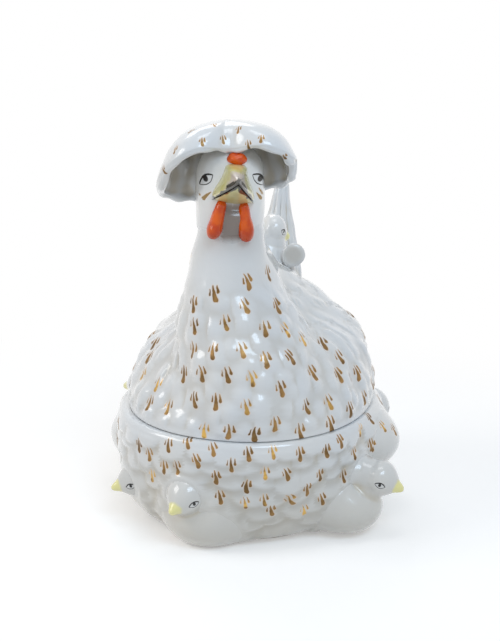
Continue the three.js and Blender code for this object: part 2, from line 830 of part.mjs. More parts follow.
function makeCurl(side) {
  return geometryOf(
    makeCurlForm(side)
      .subtract(solidOf(makeTailForm(lutedGap)))
      .subtract(solidOf(makeCoverCutter(-lutedGap))),
  );
}

// A chick's head along +X, from inside what carries it to the tip of the beak.
function chickHeadForm(radius, reach) {
  const rings = chickHeadShares.map(([along, size]) =>
    Array.from({ length: chickSides }, (_, i) => {
      const turn = (i / chickSides) * 2 * Math.PI;
      return [reach * along, Math.cos(turn) * radius * size, Math.sin(turn) * radius * size];
    }),
  );
  return bodyOfRings(rings);
}

// A chick's breast, throat and head before it is fitted to the dish, a little too large where asked.
function makeChickForm({ breast, head, size, look, dip }, grow = 0) {
  const [headRadius, reach] = [chickHeadRadius * size[0], chickReach * size[1]];
  const placeOf = (degrees, share, out) => {
    const turn = rad(degrees);
    const [x, y] = dishPoint(turn, share);
    return new THREE.Vector3(x + Math.sin(turn) * out, y - Math.cos(turn) * out, dishHeightAt(share));
  };
  const chestPlace = placeOf(breast[0], breast[1], (breast[2] - 1) * breastDepth);
  const headPlace = placeOf(head[0], head[1], head[2] * chickReach);
  const chestSize = [breastHalfWidth, breastDepth, breastHalfHeight].map((half) => half + grow);
  const chest = ellipsoid(...chestSize, breastSides);
  chest.rotateZ(rad(breast[0])).translate(...chestPlace.toArray());
  const poll = chickHeadForm(headRadius + grow, reach + grow);
  poll.rotateY(rad(dip)).rotateZ(rad(look - 90)).translate(...headPlace.toArray());
  // The throat joins the two.
  const way = headPlace.clone().sub(chestPlace);
  const wide = headRadius * throatShare + grow;
  const throat = ellipsoid(wide, wide, (way.length() + breastHalfHeight) / 2, chickSides);
  throat.rotateY(Math.atan2(Math.hypot(way.x, way.y), way.z)).rotateZ(Math.atan2(way.y, way.x));
  throat.translate(...chestPlace.clone().lerp(headPlace, 0.5).toArray());
  return solidOf(chest).add(solidOf(poll)).add(solidOf(throat));
}

// Each chick is fitted to the dish, to the table and to the chicks before it.
function makeChick(place, earlierPlaces) {
  const under = new THREE.BoxGeometry(4 * rimHalfWidth, 4 * rimHalfLength, rimHeight);
  under.translate(0, 0, tableClearance - rimHeight / 2);
  return geometryOf(
    earlierPlaces.reduce(
      (form, earlier) => form.subtract(makeChickForm(earlier, lutedGap)),
      makeChickForm(place).subtract(solidOf(makeDishCutter())).subtract(solidOf(under)),
    ),
  );
}

// The chick that sits on the hen's back and serves as the cover's handle.
// Body and neck: half width, half depth, half height, how far aside and how high the middle lies.
// Head: radius, reach, how far aside and how high. Heights go by the chick's height, and all else
// by its half width.
const backBodyShares = [1.1, 1.3, 0.42, 0.36, 0.12];
const backNeckShares = [0.88, 0.95, 0.36, 0.42, 0.38];
const backHeadShares = [0.86, 1.2, 0.5, 0.6];

function makeBackChick() {
  const seat = backHeight(backChickSeat);
  const [body, neck] = [backBodyShares, backNeckShares].map(([wide, deep, high, aside, up]) =>
    ellipsoid(
      backChickHalfWidth * wide,
      backChickHalfWidth * deep,
      backChickHeight * high,
      breastSides,
    ).translate(backChickHalfWidth * aside, backChickSeat, seat + backChickHeight * up),
  );
  const [radius, reach, aside, up] = backHeadShares;
  const head = chickHeadForm(backChickHalfWidth * radius, backChickHalfWidth * reach);
  head.rotateY(backChickDip).rotateZ(backChickLook);
  head.translate(backChickHalfWidth * aside, backChickSeat, seat + backChickHeight * up);
  return geometryOf(
    solidOf(body)
      .add(solidOf(neck))
      .add(solidOf(head))
      .subtract(solidOf(makeCoverCutter(-lutedGap)))
      .subtract(solidOf(makeTailForm(lutedGap)))
      .subtract(makeCurlForm(1, lutedGap))
      .subtract(makeCurlForm(-1, lutedGap)),
  );
}

const tureen = new THREE.Group();

function addPiece(parent, name, geometry, finish) {
  const mesh = new THREE.Mesh(geometry, new THREE.MeshStandardMaterial(finish));
  mesh.name = name;
  parent.add(mesh);
  return mesh;
}

const nest = new THREE.Group();
addPiece(nest, "nest_dish", makeDish(), white);
addPiece(nest, "foot_ring", makeFootRing(), bareClay);
chickShares.forEach((place, i) => {
  addPiece(nest, place.name, makeChick(place, chickShares.slice(0, i)), white);
});

const cover = new THREE.Group();
addPiece(cover, "hen_body", makeCover(), white);
addPiece(cover, "cover_flange", makeFlange(), white);
addPiece(cover, "hen_head", makeHead(), white);
addPiece(cover, "crest", makeCrest(), white);
addPiece(cover, "comb", makeComb(), red);
addPiece(cover, "upper_beak", makeBeak("upper"), yellow);
addPiece(cover, "lower_beak", makeBeak("lower"), yellow);
addPiece(cover, "left_wattle", makeWattle(1), red);
addPiece(cover, "right_wattle", makeWattle(-1), red);
addPiece(cover, "tail", makeTail(), white);
addPiece(cover, "left_curl", makeCurl(1), white);
addPiece(cover, "right_curl", makeCurl(-1), white);
addPiece(cover, "back_chick", makeBackChick(), white);

tureen.add(nest, cover);

export default tureen;
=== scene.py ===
# A porcelain tureen: a hen sits as the cover on her nest dish, with chicks peeping out around it.
# Millimetres are used throughout and turned into metres as each mesh is made. The hen looks
# along -Y, and +X is her left side. A turn is an angle about +Z, from her front to her left.
import math

import bmesh
import bpy
import numpy as np
from mathutils import Matrix, Vector
from mathutils.bvhtree import BVHTree
from mathutils.kdtree import KDTree


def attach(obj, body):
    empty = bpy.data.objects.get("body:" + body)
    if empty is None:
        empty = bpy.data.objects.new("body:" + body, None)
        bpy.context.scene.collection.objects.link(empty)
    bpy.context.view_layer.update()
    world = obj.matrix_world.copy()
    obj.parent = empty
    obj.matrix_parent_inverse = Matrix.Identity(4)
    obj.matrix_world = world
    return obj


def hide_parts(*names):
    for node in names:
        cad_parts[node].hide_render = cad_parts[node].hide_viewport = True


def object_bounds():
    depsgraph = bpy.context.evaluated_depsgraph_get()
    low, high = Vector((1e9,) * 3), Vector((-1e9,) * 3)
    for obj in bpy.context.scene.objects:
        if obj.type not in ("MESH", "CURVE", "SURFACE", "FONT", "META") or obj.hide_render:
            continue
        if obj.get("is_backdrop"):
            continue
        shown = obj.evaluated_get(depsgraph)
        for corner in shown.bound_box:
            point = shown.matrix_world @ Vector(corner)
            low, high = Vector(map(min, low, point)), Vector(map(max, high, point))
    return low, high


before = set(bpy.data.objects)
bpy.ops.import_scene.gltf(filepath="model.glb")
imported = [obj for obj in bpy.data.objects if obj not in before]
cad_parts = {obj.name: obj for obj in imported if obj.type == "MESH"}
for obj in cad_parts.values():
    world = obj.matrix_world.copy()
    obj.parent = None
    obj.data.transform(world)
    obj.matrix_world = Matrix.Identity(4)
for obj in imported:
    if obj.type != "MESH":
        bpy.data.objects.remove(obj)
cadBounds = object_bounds()
scene = bpy.context.scene
mm = 0.001
print("frame loaded")


# Camera at the photograph's angle. Pixels are counted in its frame.
cameraView = {
    "turn": 15,
    "tilt": 15,
    "distance": 1150,
    "target": (0, 0, 168),
    "focalPixels": 1286,
    "roll": 0.7,
    "shiftPixels": 1.5,
    "imageWidth": 500,
    "imageHeight": 641,
    "sensor": 36,
}


# Stands a camera or a lamp at its turn and tilt as seen from the hen, looking at the target.
def setUp(name, data, look, roll=0.0):
    turn, tilt = math.radians(look["turn"]), math.radians(look["tilt"])
    away = Vector((math.sin(turn) * math.cos(tilt), -math.cos(turn) * math.cos(tilt), math.sin(tilt)))
    spot = Vector(cameraView["target"]) + away * look["distance"]
    way = (-away).to_track_quat("-Z", "Y").to_matrix() @ Matrix.Rotation(math.radians(roll), 3, "Z")
    obj = bpy.data.objects.new(name, data)
    obj.matrix_world = Matrix.Translation(spot * mm) @ way.to_4x4()
    scene.collection.objects.link(obj)
    return obj


def makeCamera():
    v = cameraView
    data = bpy.data.cameras.new("photoCamera")
    data.sensor_fit = "VERTICAL"
    data.sensor_height = v["sensor"]
    data.lens = v["focalPixels"] * v["sensor"] / v["imageHeight"]
    data.shift_x = -v["shiftPixels"] / v["imageHeight"]
    data.clip_start, data.clip_end = 0.05, 20
    scene.camera = setUp("photoCamera", data, v, v["roll"])
    return scene.camera


camera = makeCamera()


# Where the line of sight through a pixel of the photograph meets a surface, in millimetres.
def pixelOn(tree, pixel):
    v = cameraView
    x = (pixel[0] - v["imageWidth"] / 2 - v["shiftPixels"]) / v["focalPixels"]
    y = (v["imageHeight"] / 2 - pixel[1]) / v["focalPixels"]
    start = camera.matrix_world.translation / mm
    way = camera.matrix_world.to_3x3() @ Vector((x, y, -1))
    return tree.ray_cast(start, way.normalized())


# Turn, tilt, distance, width, power and colour of each lamp
lampSetup = {
    "window": (42, 44, 1500, 760, 5.7, (0.62, 0.81, 1.0)),
    "left": (-60, 33, 1500, 760, 4.7, (1.0, 0.98, 0.95)),
    "back": (-148, 46, 1600, 800, 3.3, (0.95, 0.97, 1.0)),
    "top": (30, 84, 1500, 700, 2.3, (0.95, 0.98, 1.0)),
}
lampHeightShare = 0.7


def makeLamps():
    for name, (turn, tilt, distance, width, power, colour) in lampSetup.items():
        data = bpy.data.lights.new(name, "AREA")
        data.shape = "RECTANGLE"
        data.size = width * mm
        data.size_y = width * mm * lampHeightShare
        data.energy = power
        data.color = colour
        setUp(name, data, {"turn": turn, "tilt": tilt, "distance": distance})


makeLamps()


# Shader arithmetic: a wire is one value in a material, and sums with it add math nodes.
def calc(tree, operation, *values):
    node = tree.nodes.new("ShaderNodeMath")
    node.operation = operation
    for slot, value in zip(node.inputs, values):
        if isinstance(value, Wire):
            tree.links.new(value.socket, slot)
        else:
            slot.default_value = value
    return Wire(tree, node.outputs[0])


class Wire:
    def __init__(self, tree, socket):
        self.tree = tree
        self.socket = socket

    def __add__(self, other):
        return calc(self.tree, "ADD", self, other)

    def __radd__(self, other):
        return calc(self.tree, "ADD", other, self)

    def __sub__(self, other):
        return calc(self.tree, "SUBTRACT", self, other)

    def __rsub__(self, other):
        return calc(self.tree, "SUBTRACT", other, self)

    def __mul__(self, other):
        return calc(self.tree, "MULTIPLY", self, other)

    def __rmul__(self, other):
        return calc(self.tree, "MULTIPLY", other, self)

    def __truediv__(self, other):
        return calc(self.tree, "DIVIDE", self, other)

    def __rtruediv__(self, other):
        return calc(self.tree, "DIVIDE", other, self)

    def __abs__(self):
        return calc(self.tree, "ABSOLUTE", self)

    def root(self):
        return calc(self.tree, "SQRT", self)

    def smallest(self, other):
        return calc(self.tree, "MINIMUM", self, other)

    def largest(self, other):
        return calc(self.tree, "MAXIMUM", self, other)

    def held(self):
        return self.largest(0.0).smallest(1.0)

    # 0 at low and before, 1 at high and past it, with soft ends.
    def ramp(self, low, high):
        node = self.tree.nodes.new("ShaderNodeMapRange")
        node.interpolation_type = "SMOOTHSTEP"
        self.tree.links.new(self.socket, node.inputs["Value"])
        node.inputs["From Min"].default_value = low
        node.inputs["From Max"].default_value = high
        return Wire(self.tree, node.outputs["Result"])


# A material under construction, with the few nodes that the glazes need.
class Glaze:
    def __init__(self, name, **fixed):
        self.material = bpy.data.materials.new(name)
        self.material.use_nodes = True
        self.tree = self.material.node_tree
        self.shader = self.tree.nodes["Principled BSDF"]
        for socket, value in fixed.items():
            self.shader.inputs[socket.replace("_", " ")].default_value = value
        self.bump = None

    def node(self, kind, **settings):
        node = self.tree.nodes.new(kind)
        for key, value in settings.items():
            setattr(node, key, value)
        return node

    def wire(self, socket):
        return Wire(self.tree, socket)

    def join(self, source, slot):
        self.tree.links.new(source.socket if isinstance(source, Wire) else source, slot)

    def objectPlace(self):
        return self.node("ShaderNodeTexCoord").outputs["Object"]

    def parts(self, vector):
        split = self.node("ShaderNodeSeparateXYZ")
        self.join(vector, split.inputs[0])
        return [self.wire(out) for out in split.outputs]

    def mapLayer(self, name):
        return self.parts(self.node("ShaderNodeUVMap", uv_map=name).outputs[0])

    def attribute(self, name):
        return self.wire(self.node("ShaderNodeAttribute", attribute_name=name).outputs["Fac"])

    # Noise over the object; size is that of its larger patches in millimetres.
    def noise(self, size, detail=2.0):
        node = self.node("ShaderNodeTexNoise")
        self.join(self.objectPlace(), node.inputs["Vector"])
        node.inputs["Scale"].default_value = 1 / (size * mm)
        node.inputs["Detail"].default_value = detail
        return self.wire(node.outputs["Fac"])

    # Mixes two colours, each a tuple or a socket.
    def mix(self, fac, first, second):
        node = self.node("ShaderNodeMix", data_type="RGBA")
        self.join(fac, node.inputs["Factor"])
        for index, colour in ((6, first), (7, second)):
            if isinstance(colour, tuple):
                node.inputs[index].default_value = (*colour, 1)
            else:
                self.join(colour, node.inputs[index])
        return node.outputs[2]

    def addBump(self, height, depth):
        node = self.node("ShaderNodeBump")
        node.inputs["Strength"].default_value = 1.0
        node.inputs["Distance"].default_value = depth * mm
        self.join(height, node.inputs["Height"])
        if self.bump:
            self.join(self.bump, node.inputs["Normal"])
        self.bump = node.outputs[0]

    def finish(self, colour, **varying):
        self.join(colour, self.shader.inputs["Base Color"])
        for socket, source in varying.items():
            self.join(source, self.shader.inputs[socket.replace("_", " ")])
        if self.bump:
            self.join(self.bump, self.shader.inputs["Normal"])
        return self.material


glazeSettings = {
    "white": (0.78, 0.785, 0.78),
    "warm": (0.60, 0.54, 0.43),
    "deep": (0.24, 0.20, 0.14),
    "under": (0.36, 0.32, 0.25),
    "cool": (0.72, 0.765, 0.82),
    "coolShare": 0.55,
    "lowShadeShare": 0.65,
    "hollowShare": 0.8,
    "deepShadeShare": 0.7,
    "underShadeShare": 0.4,
    "roughness": 0.22,
    "coatRoughness": 0.085,
    "waveSize": 16,
    "waveDepth": 0.8,
}

# The gold's dark and middle tones include painted shade, and its brightest tone is a painted glint.
goldSettings = {
    "dark": (0.15, 0.085, 0.03),
    "middle": (0.36, 0.21, 0.075),
    "bright": (0.72, 0.45, 0.12),
    "halo": (0.86, 0.62, 0.44),
    "roughness": 0.38,
}


def newGlaze(name, coat=1.0):
    return Glaze(
        name,
        Roughness=glazeSettings["roughness"],
        Coat_Weight=coat,
        Coat_Roughness=glazeSettings["coatRoughness"],
        Coat_IOR=1.5,
    )


# The white glaze itself: bluish in broad random patches, and painted shade makes it warmer and darker low
# down and in its hollows, where glaze also pools.
def whiteOf(glaze):
    g = glazeSettings
    height = glaze.parts(glaze.objectPlace())[2]
    patches = glaze.noise(60, 1.0).ramp(0.3, 0.7)
    colour = glaze.mix(patches * g["coolShare"], g["white"], g["cool"])
    # Painted shade: towards the table the glaze is mixed warmer and darker.
    low = (1 - height.ramp(-0.01, 0.115)) * g["lowShadeShare"]
    colour = glaze.mix(low, colour, g["warm"])
    # Glaze pools in hollows, and painted shade darkens them: warm where shallow, dark brown where deep.
    hollow = glaze.attribute("hollow")
    colour = glaze.mix(hollow.held() * g["hollowShare"], colour, g["warm"])
    colour = glaze.mix(hollow.ramp(1.5, 4.0) * g["deepShadeShare"], colour, g["deep"])
    # Painted shade, carried by the under attribute: beneath feather tips, between lumps, below the head,
    # inside the crest and on the curls.
    colour = glaze.mix(glaze.attribute("under") * g["underShadeShare"], colour, g["under"])
    glaze.addBump(glaze.noise(g["waveSize"], 1.5), g["waveDepth"])
    glaze.addBump(glaze.noise(3.5, 2.0), 0.05)
    return colour


# One stroke of a brush, from its thin end to its fat one: the distance to its edge.
def strokeEdge(x, y, thin, fat, thinHalf, fatHalf):
    dx, dy = fat[0] - thin[0], fat[1] - thin[1]
    along = (((x - thin[0]) * dx + (y - thin[1]) * dy) / (dx * dx + dy * dy)).held()
    aside = x - thin[0] - along * dx
    past = y - thin[1] - along * dy
    return (aside * aside + past * past).root() - (thinHalf + along * (fatHalf - thinHalf))


# A gilded feather mark is a long stroke with a fat lower end and two short ones beside it:
# thin end, fat end, half widths, in millimetres, +Y down.
markStrokes = (
    ((-0.9, -8.2), (0.7, 4.6), 0.3, 2.45),
    ((3.0, -7.6), (4.1, -2.0), 0.4, 1.45),
    ((-3.6, -5.4), (-4.1, -0.8), 0.2, 0.8),
)


def gild(glaze, colour):
    across, down, _ = glaze.mapLayer("mark")
    seed, other, _ = glaze.mapLayer("markSeed")
    wobble = glaze.noise(5, 2.0) - 0.5
    x = across + (seed - 0.5) * down * down * 0.035 + wobble * 2.2
    y = down + wobble * 2.0
    edge = None
    for thin, fat, thinHalf, fatHalf in markStrokes:
        part = strokeEdge(x, y, thin, fat, thinHalf, fatHalf)
        edge = part if edge is None else edge.smallest(part)
    inked = edge + (other - 0.5) * 0.6
    gold = 1 - inked.ramp(-0.22, 0.22)
    halo = (1 - inked.ramp(0.0, 1.4)) * 0.42
    # The gold is dark brown: painted shade for the dark surroundings that bare gold would reflect. Its tone
    # varies at random from mark to mark.
    tone = (glaze.noise(9, 2.0).ramp(0.35, 0.7) * 0.75 + seed * 0.35).held()
    g = goldSettings
    metal = glaze.mix(tone, g["dark"], g["middle"])
    # A few marks carry a painted glint of brighter gold.
    glint = (other.ramp(0.8, 0.95) * glaze.noise(6, 1.0).ramp(0.35, 0.6)).held()
    metal = glaze.mix(glint, metal, g["bright"])
    colour = glaze.mix(halo, colour, g["halo"])
    colour = glaze.mix(gold, colour, metal)
    return colour, gold


def makeGilded(name):
    glaze = newGlaze(name)
    colour, gold = gild(glaze, whiteOf(glaze))
    smooth = glazeSettings["roughness"]
    roughness = gold * (goldSettings["roughness"] - smooth) + smooth
    return glaze.finish(colour, Metallic=gold * 0.75, Roughness=roughness, Coat_Weight=1 - gold)


def makePlainWhite(name):
    glaze = newGlaze(name)
    return glaze.finish(whiteOf(glaze))


def makeBareClay():
    glaze = Glaze("barePorcelain", Roughness=0.85)
    grain = glaze.noise(1.2, 3.0)
    glaze.addBump(grain, 0.12)
    stains = glaze.noise(22, 3.0).ramp(0.45, 0.75)
    return glaze.finish(glaze.mix(stains * 0.5, (0.74, 0.71, 0.64), (0.55, 0.47, 0.36)))


gildedGlaze = makeGilded("gildedWhiteGlaze")
plainGlaze = makePlainWhite("plainWhiteGlaze")
bareClay = makeBareClay()
print("glazes mixed")


def smoothStep(low, high, value):
    t = np.clip((value - low) / (high - low), 0, 1)
    return t * t * (3 - 2 * t)


# Rows of a table of shares at any place along its first column, on a smooth curve.
def readRows(table, at):
    rows = np.array(table, dtype=float)
    at = np.clip(np.atleast_1d(np.asarray(at, dtype=float)), rows[0, 0], rows[-1, 0])
    last = len(rows) - 1
    low = np.clip(np.searchsorted(rows[:, 0], at, side="right") - 1, 0, last - 1)
    before, start = rows[np.maximum(low - 1, 0)], rows[low]
    end, after = rows[low + 1], rows[np.minimum(low + 2, last)]
    span = end[:, :1] - start[:, :1]
    t = (at[:, None] - start[:, :1]) / span
    leave = (end - before) / (end[:, :1] - before[:, :1]) * span
    arrive = (after - start) / (after[:, :1] - start[:, :1]) * span
    return (
        start * (1 + 2 * t) * (1 - t) ** 2
        + leave * t * (1 - t) ** 2
        + end * t * t * (3 - 2 * t)
        + arrive * t * t * (t - 1)
    )


def ovalPoint(turn, halfWidth, front, back, bluntness=2.0):
    side, ahead = np.sin(turn), np.cos(turn)
    power = 2 / bluntness
    x = halfWidth * np.sign(side) * np.abs(side) ** power
    y = (back - front) / 2 - (back + front) / 2 * np.sign(ahead) * np.abs(ahead) ** power
    return x, y


def turnsOf(columns):
    return np.arange(columns) / columns * 2 * math.pi


def levelRing(x, y, height):
    return np.stack([x, y, np.full_like(x, height)], axis=1)


def turned(x, y, angle):
    c, s = math.cos(angle), math.sin(angle)
    return x * c - y * s, x * s + y * c


# A soft random swell between about -1 and 1, made of sine waves in random directions.
def ripple(points, size, seed):
    rng = np.random.default_rng(seed)
    total = np.zeros(points.shape[:-1])
    for _ in range(9):
        way = rng.normal(size=3)
        wave = size * rng.uniform(0.7, 1.5)
        way *= 2 * math.pi / wave / np.linalg.norm(way)
        total += np.sin(points @ way + rng.uniform(0, 2 * math.pi))
    return total / 3.2


# The way out of the material at every point of a stack of rings.
def outwardOf(rings):
    across = np.roll(rings, -1, axis=1) - np.roll(rings, 1, axis=1)
    onward = np.gradient(rings, axis=0)
    normal = np.cross(across, onward)
    return normal / np.maximum(np.linalg.norm(normal, axis=2, keepdims=True), 1e-9)


# Bends a grid round into a closed body through a stack of rings, whose ends meet in a point.
def formOfRings(rings):
    ends = [np.repeat(rings[i].mean(axis=0)[None], rings.shape[1], axis=0)[None] for i in (0, -1)]
    rings = np.concatenate([ends[0], rings, ends[1]])
    rows, columns, _ = rings.shape
    bm = bmesh.new()
    bmesh.ops.create_grid(bm, x_segments=columns, y_segments=rows - 1, size=1)
    flat = np.array([v.co[:2] for v in bm.verts])
    column = np.rint((flat[:, 0] + 1) / 2 * columns).astype(int) % columns
    row = np.rint((flat[:, 1] + 1) / 2 * (rows - 1)).astype(int)
    for vert, place in zip(bm.verts, rings[row, column] * mm):
        vert.co = place
    bmesh.ops.remove_doubles(bm, verts=bm.verts, dist=1e-6)
    bmesh.ops.recalc_face_normals(bm, faces=bm.faces)
    return bm


def bodyOfRings(name, rings):
    return pieceFrom(name, formOfRings(rings))


# A ball stretched to half sizes and put in its place, in millimetres.
def ballForm(halfSizes, place, turn=0.0, segments=48):
    bm = bmesh.new()
    matrix = Matrix.Translation(Vector(place) * mm) @ Matrix.Rotation(turn, 4, "Z")
    matrix = matrix @ Matrix.Diagonal((*(n * mm for n in halfSizes), 1))
    bmesh.ops.create_uvsphere(bm, u_segments=segments, v_segments=segments // 2, radius=1, matrix=matrix)
    return bm


# Fuses overlapping forms into one skin and smooths the joints between them.
def fuse(name, forms, voxel, rounds):
    whole = bmesh.new()
    for form in forms:
        part = bpy.data.meshes.new("part")
        form.to_mesh(part)
        form.free()
        whole.from_mesh(part)
        bpy.data.meshes.remove(part)
    rough = pieceFrom(name + "Rough", whole)
    remesh = rough.modifiers.new("fuse", "REMESH")
    remesh.mode = "VOXEL"
    remesh.voxel_size = voxel * mm
    remesh.adaptivity = 0
    solid = bpy.data.meshes.new_from_object(rough.evaluated_get(bpy.context.evaluated_depsgraph_get()))
    bm = bmesh.new()
    bm.from_mesh(solid)
    bpy.data.objects.remove(rough)
    bpy.data.meshes.remove(solid)
    for _ in range(rounds):
        bmesh.ops.smooth_vert(
            bm, verts=bm.verts, factor=0.5, use_axis_x=True, use_axis_y=True, use_axis_z=True
        )
    return pieceFrom(name, bm)


def pieceFrom(name, bm):
    mesh = bpy.data.meshes.new(name)
    bm.to_mesh(mesh)
    bm.free()
    mesh.polygons.foreach_set("use_smooth", [True] * len(mesh.polygons))
    piece = bpy.data.objects.new(name, mesh)
    scene.collection.objects.link(piece)
    return piece


def valuesOf(items, field, width=1, kind=float):
    values = np.empty(len(items) * width, dtype=kind)
    items.foreach_get(field, values)
    return values.reshape(-1, width) if width > 1 else values


def pointsOf(piece):
    return valuesOf(piece.data.vertices, "co", 3) / mm


def normalsOf(piece):
    return valuesOf(piece.data.vertices, "normal", 3)


def movePoints(piece, points):
    piece.data.vertices.foreach_set("co", (points * mm).ravel())
    piece.data.update()


def treeOf(piece):
    corners = [Vector(p) for p in pointsOf(piece)]
    return BVHTree.FromPolygons(corners, [tuple(p.vertices) for p in piece.data.polygons])


def attributeOn(piece, name, values):
    layer = piece.data.attributes.new(name, "FLOAT", "POINT")
    layer.data.foreach_set("value", np.asarray(values, dtype=np.float32))


# How deep each point lies in a hollow, 1 at the given depth: glaze pools there, and painted shade makes it
# warmer and darker.
def shadeHollows(piece, depth, rounds):
    points = pointsOf(piece)
    a, b = valuesOf(piece.data.edges, "vertices", 2, int).T
    count = np.bincount(a, minlength=len(points)) + np.bincount(b, minlength=len(points))
    count = np.maximum(count, 1)
    even = points.copy()
    for _ in range(rounds):
        for axis in range(3):
            ahead = np.bincount(a, even[b, axis], len(points))
            behind = np.bincount(b, even[a, axis], len(points))
            even[:, axis] = (ahead + behind) / count
    lie = np.sum((even - points) * normalsOf(piece), axis=1) / depth
    attributeOn(piece, "hollow", np.clip(lie, 0, 5))


def glazeWith(piece, material, slot, body, *nodes):
    piece.data.materials.clear()
    piece.data.materials.append(material)
    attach(piece, body)
    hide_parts(*nodes)


# Slip round a luted joint: how far each point rises along its own way to meet its neighbours
# softly, and how near it lies to them, from 0 to 1.
def luteRise(points, ways, neighbours, reach):
    rise, near = np.zeros(len(points)), np.zeros(len(points))
    for tree, low, high in neighbours:
        close = np.all((points > low - reach) & (points < high + reach), axis=1)
        for i in np.nonzero(close)[0]:
            start, way, up, share = Vector(points[i]), Vector(ways[i]), 0.0, 0.0
            for _ in range(4):
                place = start + way * up
                spot, normal, _, gap = tree.find_nearest(place, 2 * reach)
                if spot is None:
                    up = share = 0.0
                    break
                gap = -gap if (place - spot).dot(normal) < 0 else gap
                share = min(max(1 - (gap - up) / reach, 0), 1)
                up = reach / 4 * share * share
            rise[i], near[i] = max(rise[i], up), max(near[i], share)
    return rise, near


def luteTo(piece, neighbours, reach):
    points, ways = pointsOf(piece), normalsOf(piece)
    rise, _ = luteRise(points, ways, neighbours, reach)
    movePoints(piece, points + ways * rise[:, None])


# A skin without relief, to measure from.
def smoothSkin(rings):
    piece = bodyOfRings("skin", rings)
    found = treeWithBox(piece)
    bpy.data.objects.remove(piece)
    return found


def treeWithBox(piece):
    points = pointsOf(piece)
    return treeOf(piece), points.min(axis=0), points.max(axis=0)


# How far a mark reaches, and a place that lies off every mark
markReach, offMark = 17, 60


# Writes on each face where it lies on its nearest mark, in the mark's own millimetres.
def printMarks(piece, spots, layerName="mark"):
    mesh = piece.data
    tree = treeOf(piece)
    places, rights, downs, outs, seeds = [], [], [], [], []
    for spot in spots:
        place, out, _, _ = tree.find_nearest(Vector(spot["place"]))
        down = Vector((0, 0, -1))
        down = (down - out * down.dot(out)).normalized()
        down = Matrix.Rotation(spot.get("lean", 0), 3, out) @ down
        right = out.cross(down)
        if "along" in spot:
            down = Vector(spot["along"]).cross(out).normalized()
            down = -down if down.z > 0 else down
            right = out.cross(down)
        if spot.get("facing"):
            right, up, _ = (camera.matrix_world.to_3x3().col[i] for i in range(3))
            down = -up
        places.append(place)
        outs.append(out)
        rights.append(right / spot.get("size", 1))
        downs.append(down / spot.get("size", 1))
        seeds.append((spot.get("seed", 0.5), spot.get("other", 0.5)))
    finder = KDTree(len(places))
    for i, place in enumerate(places):
        finder.insert(place, i)
    finder.balance()
    centres = valuesOf(mesh.polygons, "center", 3) / mm
    nearest = np.array([finder.find(Vector(c))[1] for c in centres])
    counts = valuesOf(mesh.polygons, "loop_total", 1, int)
    faceWays = valuesOf(mesh.polygons, "normal", 3)
    chosen = np.repeat(nearest, counts)
    offset = pointsOf(piece)[valuesOf(mesh.loops, "vertex_index", 1, int)] - np.array(places)[chosen]
    u = np.sum(offset * np.array(rights)[chosen], axis=1)
    v = np.sum(offset * np.array(downs)[chosen], axis=1)
    # Faces that turn away or lie far off stay unmarked.
    blank = np.sum(faceWays * np.array(outs)[nearest], axis=1) < 0.1
    blank |= np.linalg.norm(centres - np.array(places)[nearest], axis=1) > markReach
    blank = np.repeat(blank, counts)
    u[blank] = offMark
    v[blank] = offMark
    layer = mesh.uv_layers.new(name=layerName)
    layer.data.foreach_set("uv", np.stack([u, v], axis=1).ravel())
    layer = mesh.uv_layers.new(name=layerName + "Seed")
    layer.data.foreach_set("uv", np.array(seeds)[chosen].ravel())


# Feather tips laid over each other, the lowest row first. Each row: height, number round, start
# turn in degrees, length; the tips are as wide as their spacing. Gives the relief, the painted shade
# under the tips and where the tips lie.
def featherRows(turns, heights, radii, rows, look, seed):
    rng = np.random.default_rng(seed)
    relief, under = np.zeros(turns.shape), np.zeros(turns.shape)
    spots = []
    for height, count, start, length in rows:
        gap = 2 * math.pi / count
        asideJitter = rng.uniform(-0.5, 0.5, count) * look["jitter"] * gap
        upJitter = rng.uniform(-0.5, 0.5, count) * look["jitter"] * length
        index = np.rint((turns - math.radians(start)) / gap).astype(int) % count
        centre = math.radians(start) + index * gap + asideJitter[index]
        aside = (turns - centre + math.pi) % (2 * math.pi) - math.pi
        across = aside * radii / (radii * gap * look["width"])
        up = (heights - height - upJitter[index]) / length
        below = np.where(up < 0, up, up * look["rootShare"])
        reach = np.sqrt(across**2 + below**2) / (1 + rng.uniform(-0.12, 0.2, count)[index])
        if look["soft"] >= 1:
            # Rounded lumps that melt into each other
            lump = look["rise"] * smoothStep(1, 0, reach)
            relief = relief + lump - relief * lump / look["rise"]
            under = (1 - relief / look["rise"]) ** 2
        else:
            cover = smoothStep(0, look["soft"], 1 - reach)
            swell = look["rise"] * (0.4 + 0.6 * np.clip(0.5 - up / 2, 0, 1) ** 1.4) * (1 - 0.35 * across**2)
            relief = relief * (1 - cover) + swell * cover
            shadow = smoothStep(look["shadow"], 1.0, reach) * smoothStep(0.35, -0.25, up)
            under = np.maximum(under, shadow) * (1 - cover)
        for i in range(count):
            spots.append((math.radians(start) + i * gap + asideJitter[i], height + upJitter[i]))
    return relief - look["rise"] * look["sink"], under, spots


# The dish: the same oval and profile as its solid, with feather tips in its skin.
dishLook = {
    "rimHalfWidth": 115,
    "rimHalfLength": 130,
    "rimHeight": 98,
    "rimWidth": 12,
    "floor": 7,
    "foot": 3,
    "bluntness": 2.15,
    "columns": 420,
    "outerRows": 104,
    "innerRows": 36,
    "rimRound": 2.2,
    "skinDepth": 3.0,
    "lute": 16,
    "slipFoot": 0.6,
    "breastLute": 22,
    "feathers": {
        "rise": 4.6, "width": 0.71, "soft": 0.34, "rootShare": 0.5, "jitter": 0.6, "sink": 0.5, "shadow": 1.5
    },
}
dishProfileShares = [
    (0.0, 0.78), (0.03, 0.808), (0.1, 0.855), (0.22, 0.915), (0.38, 0.965), (0.58, 0.994),
    (0.8, 1.004), (0.94, 1.0), (1.0, 0.985),
]
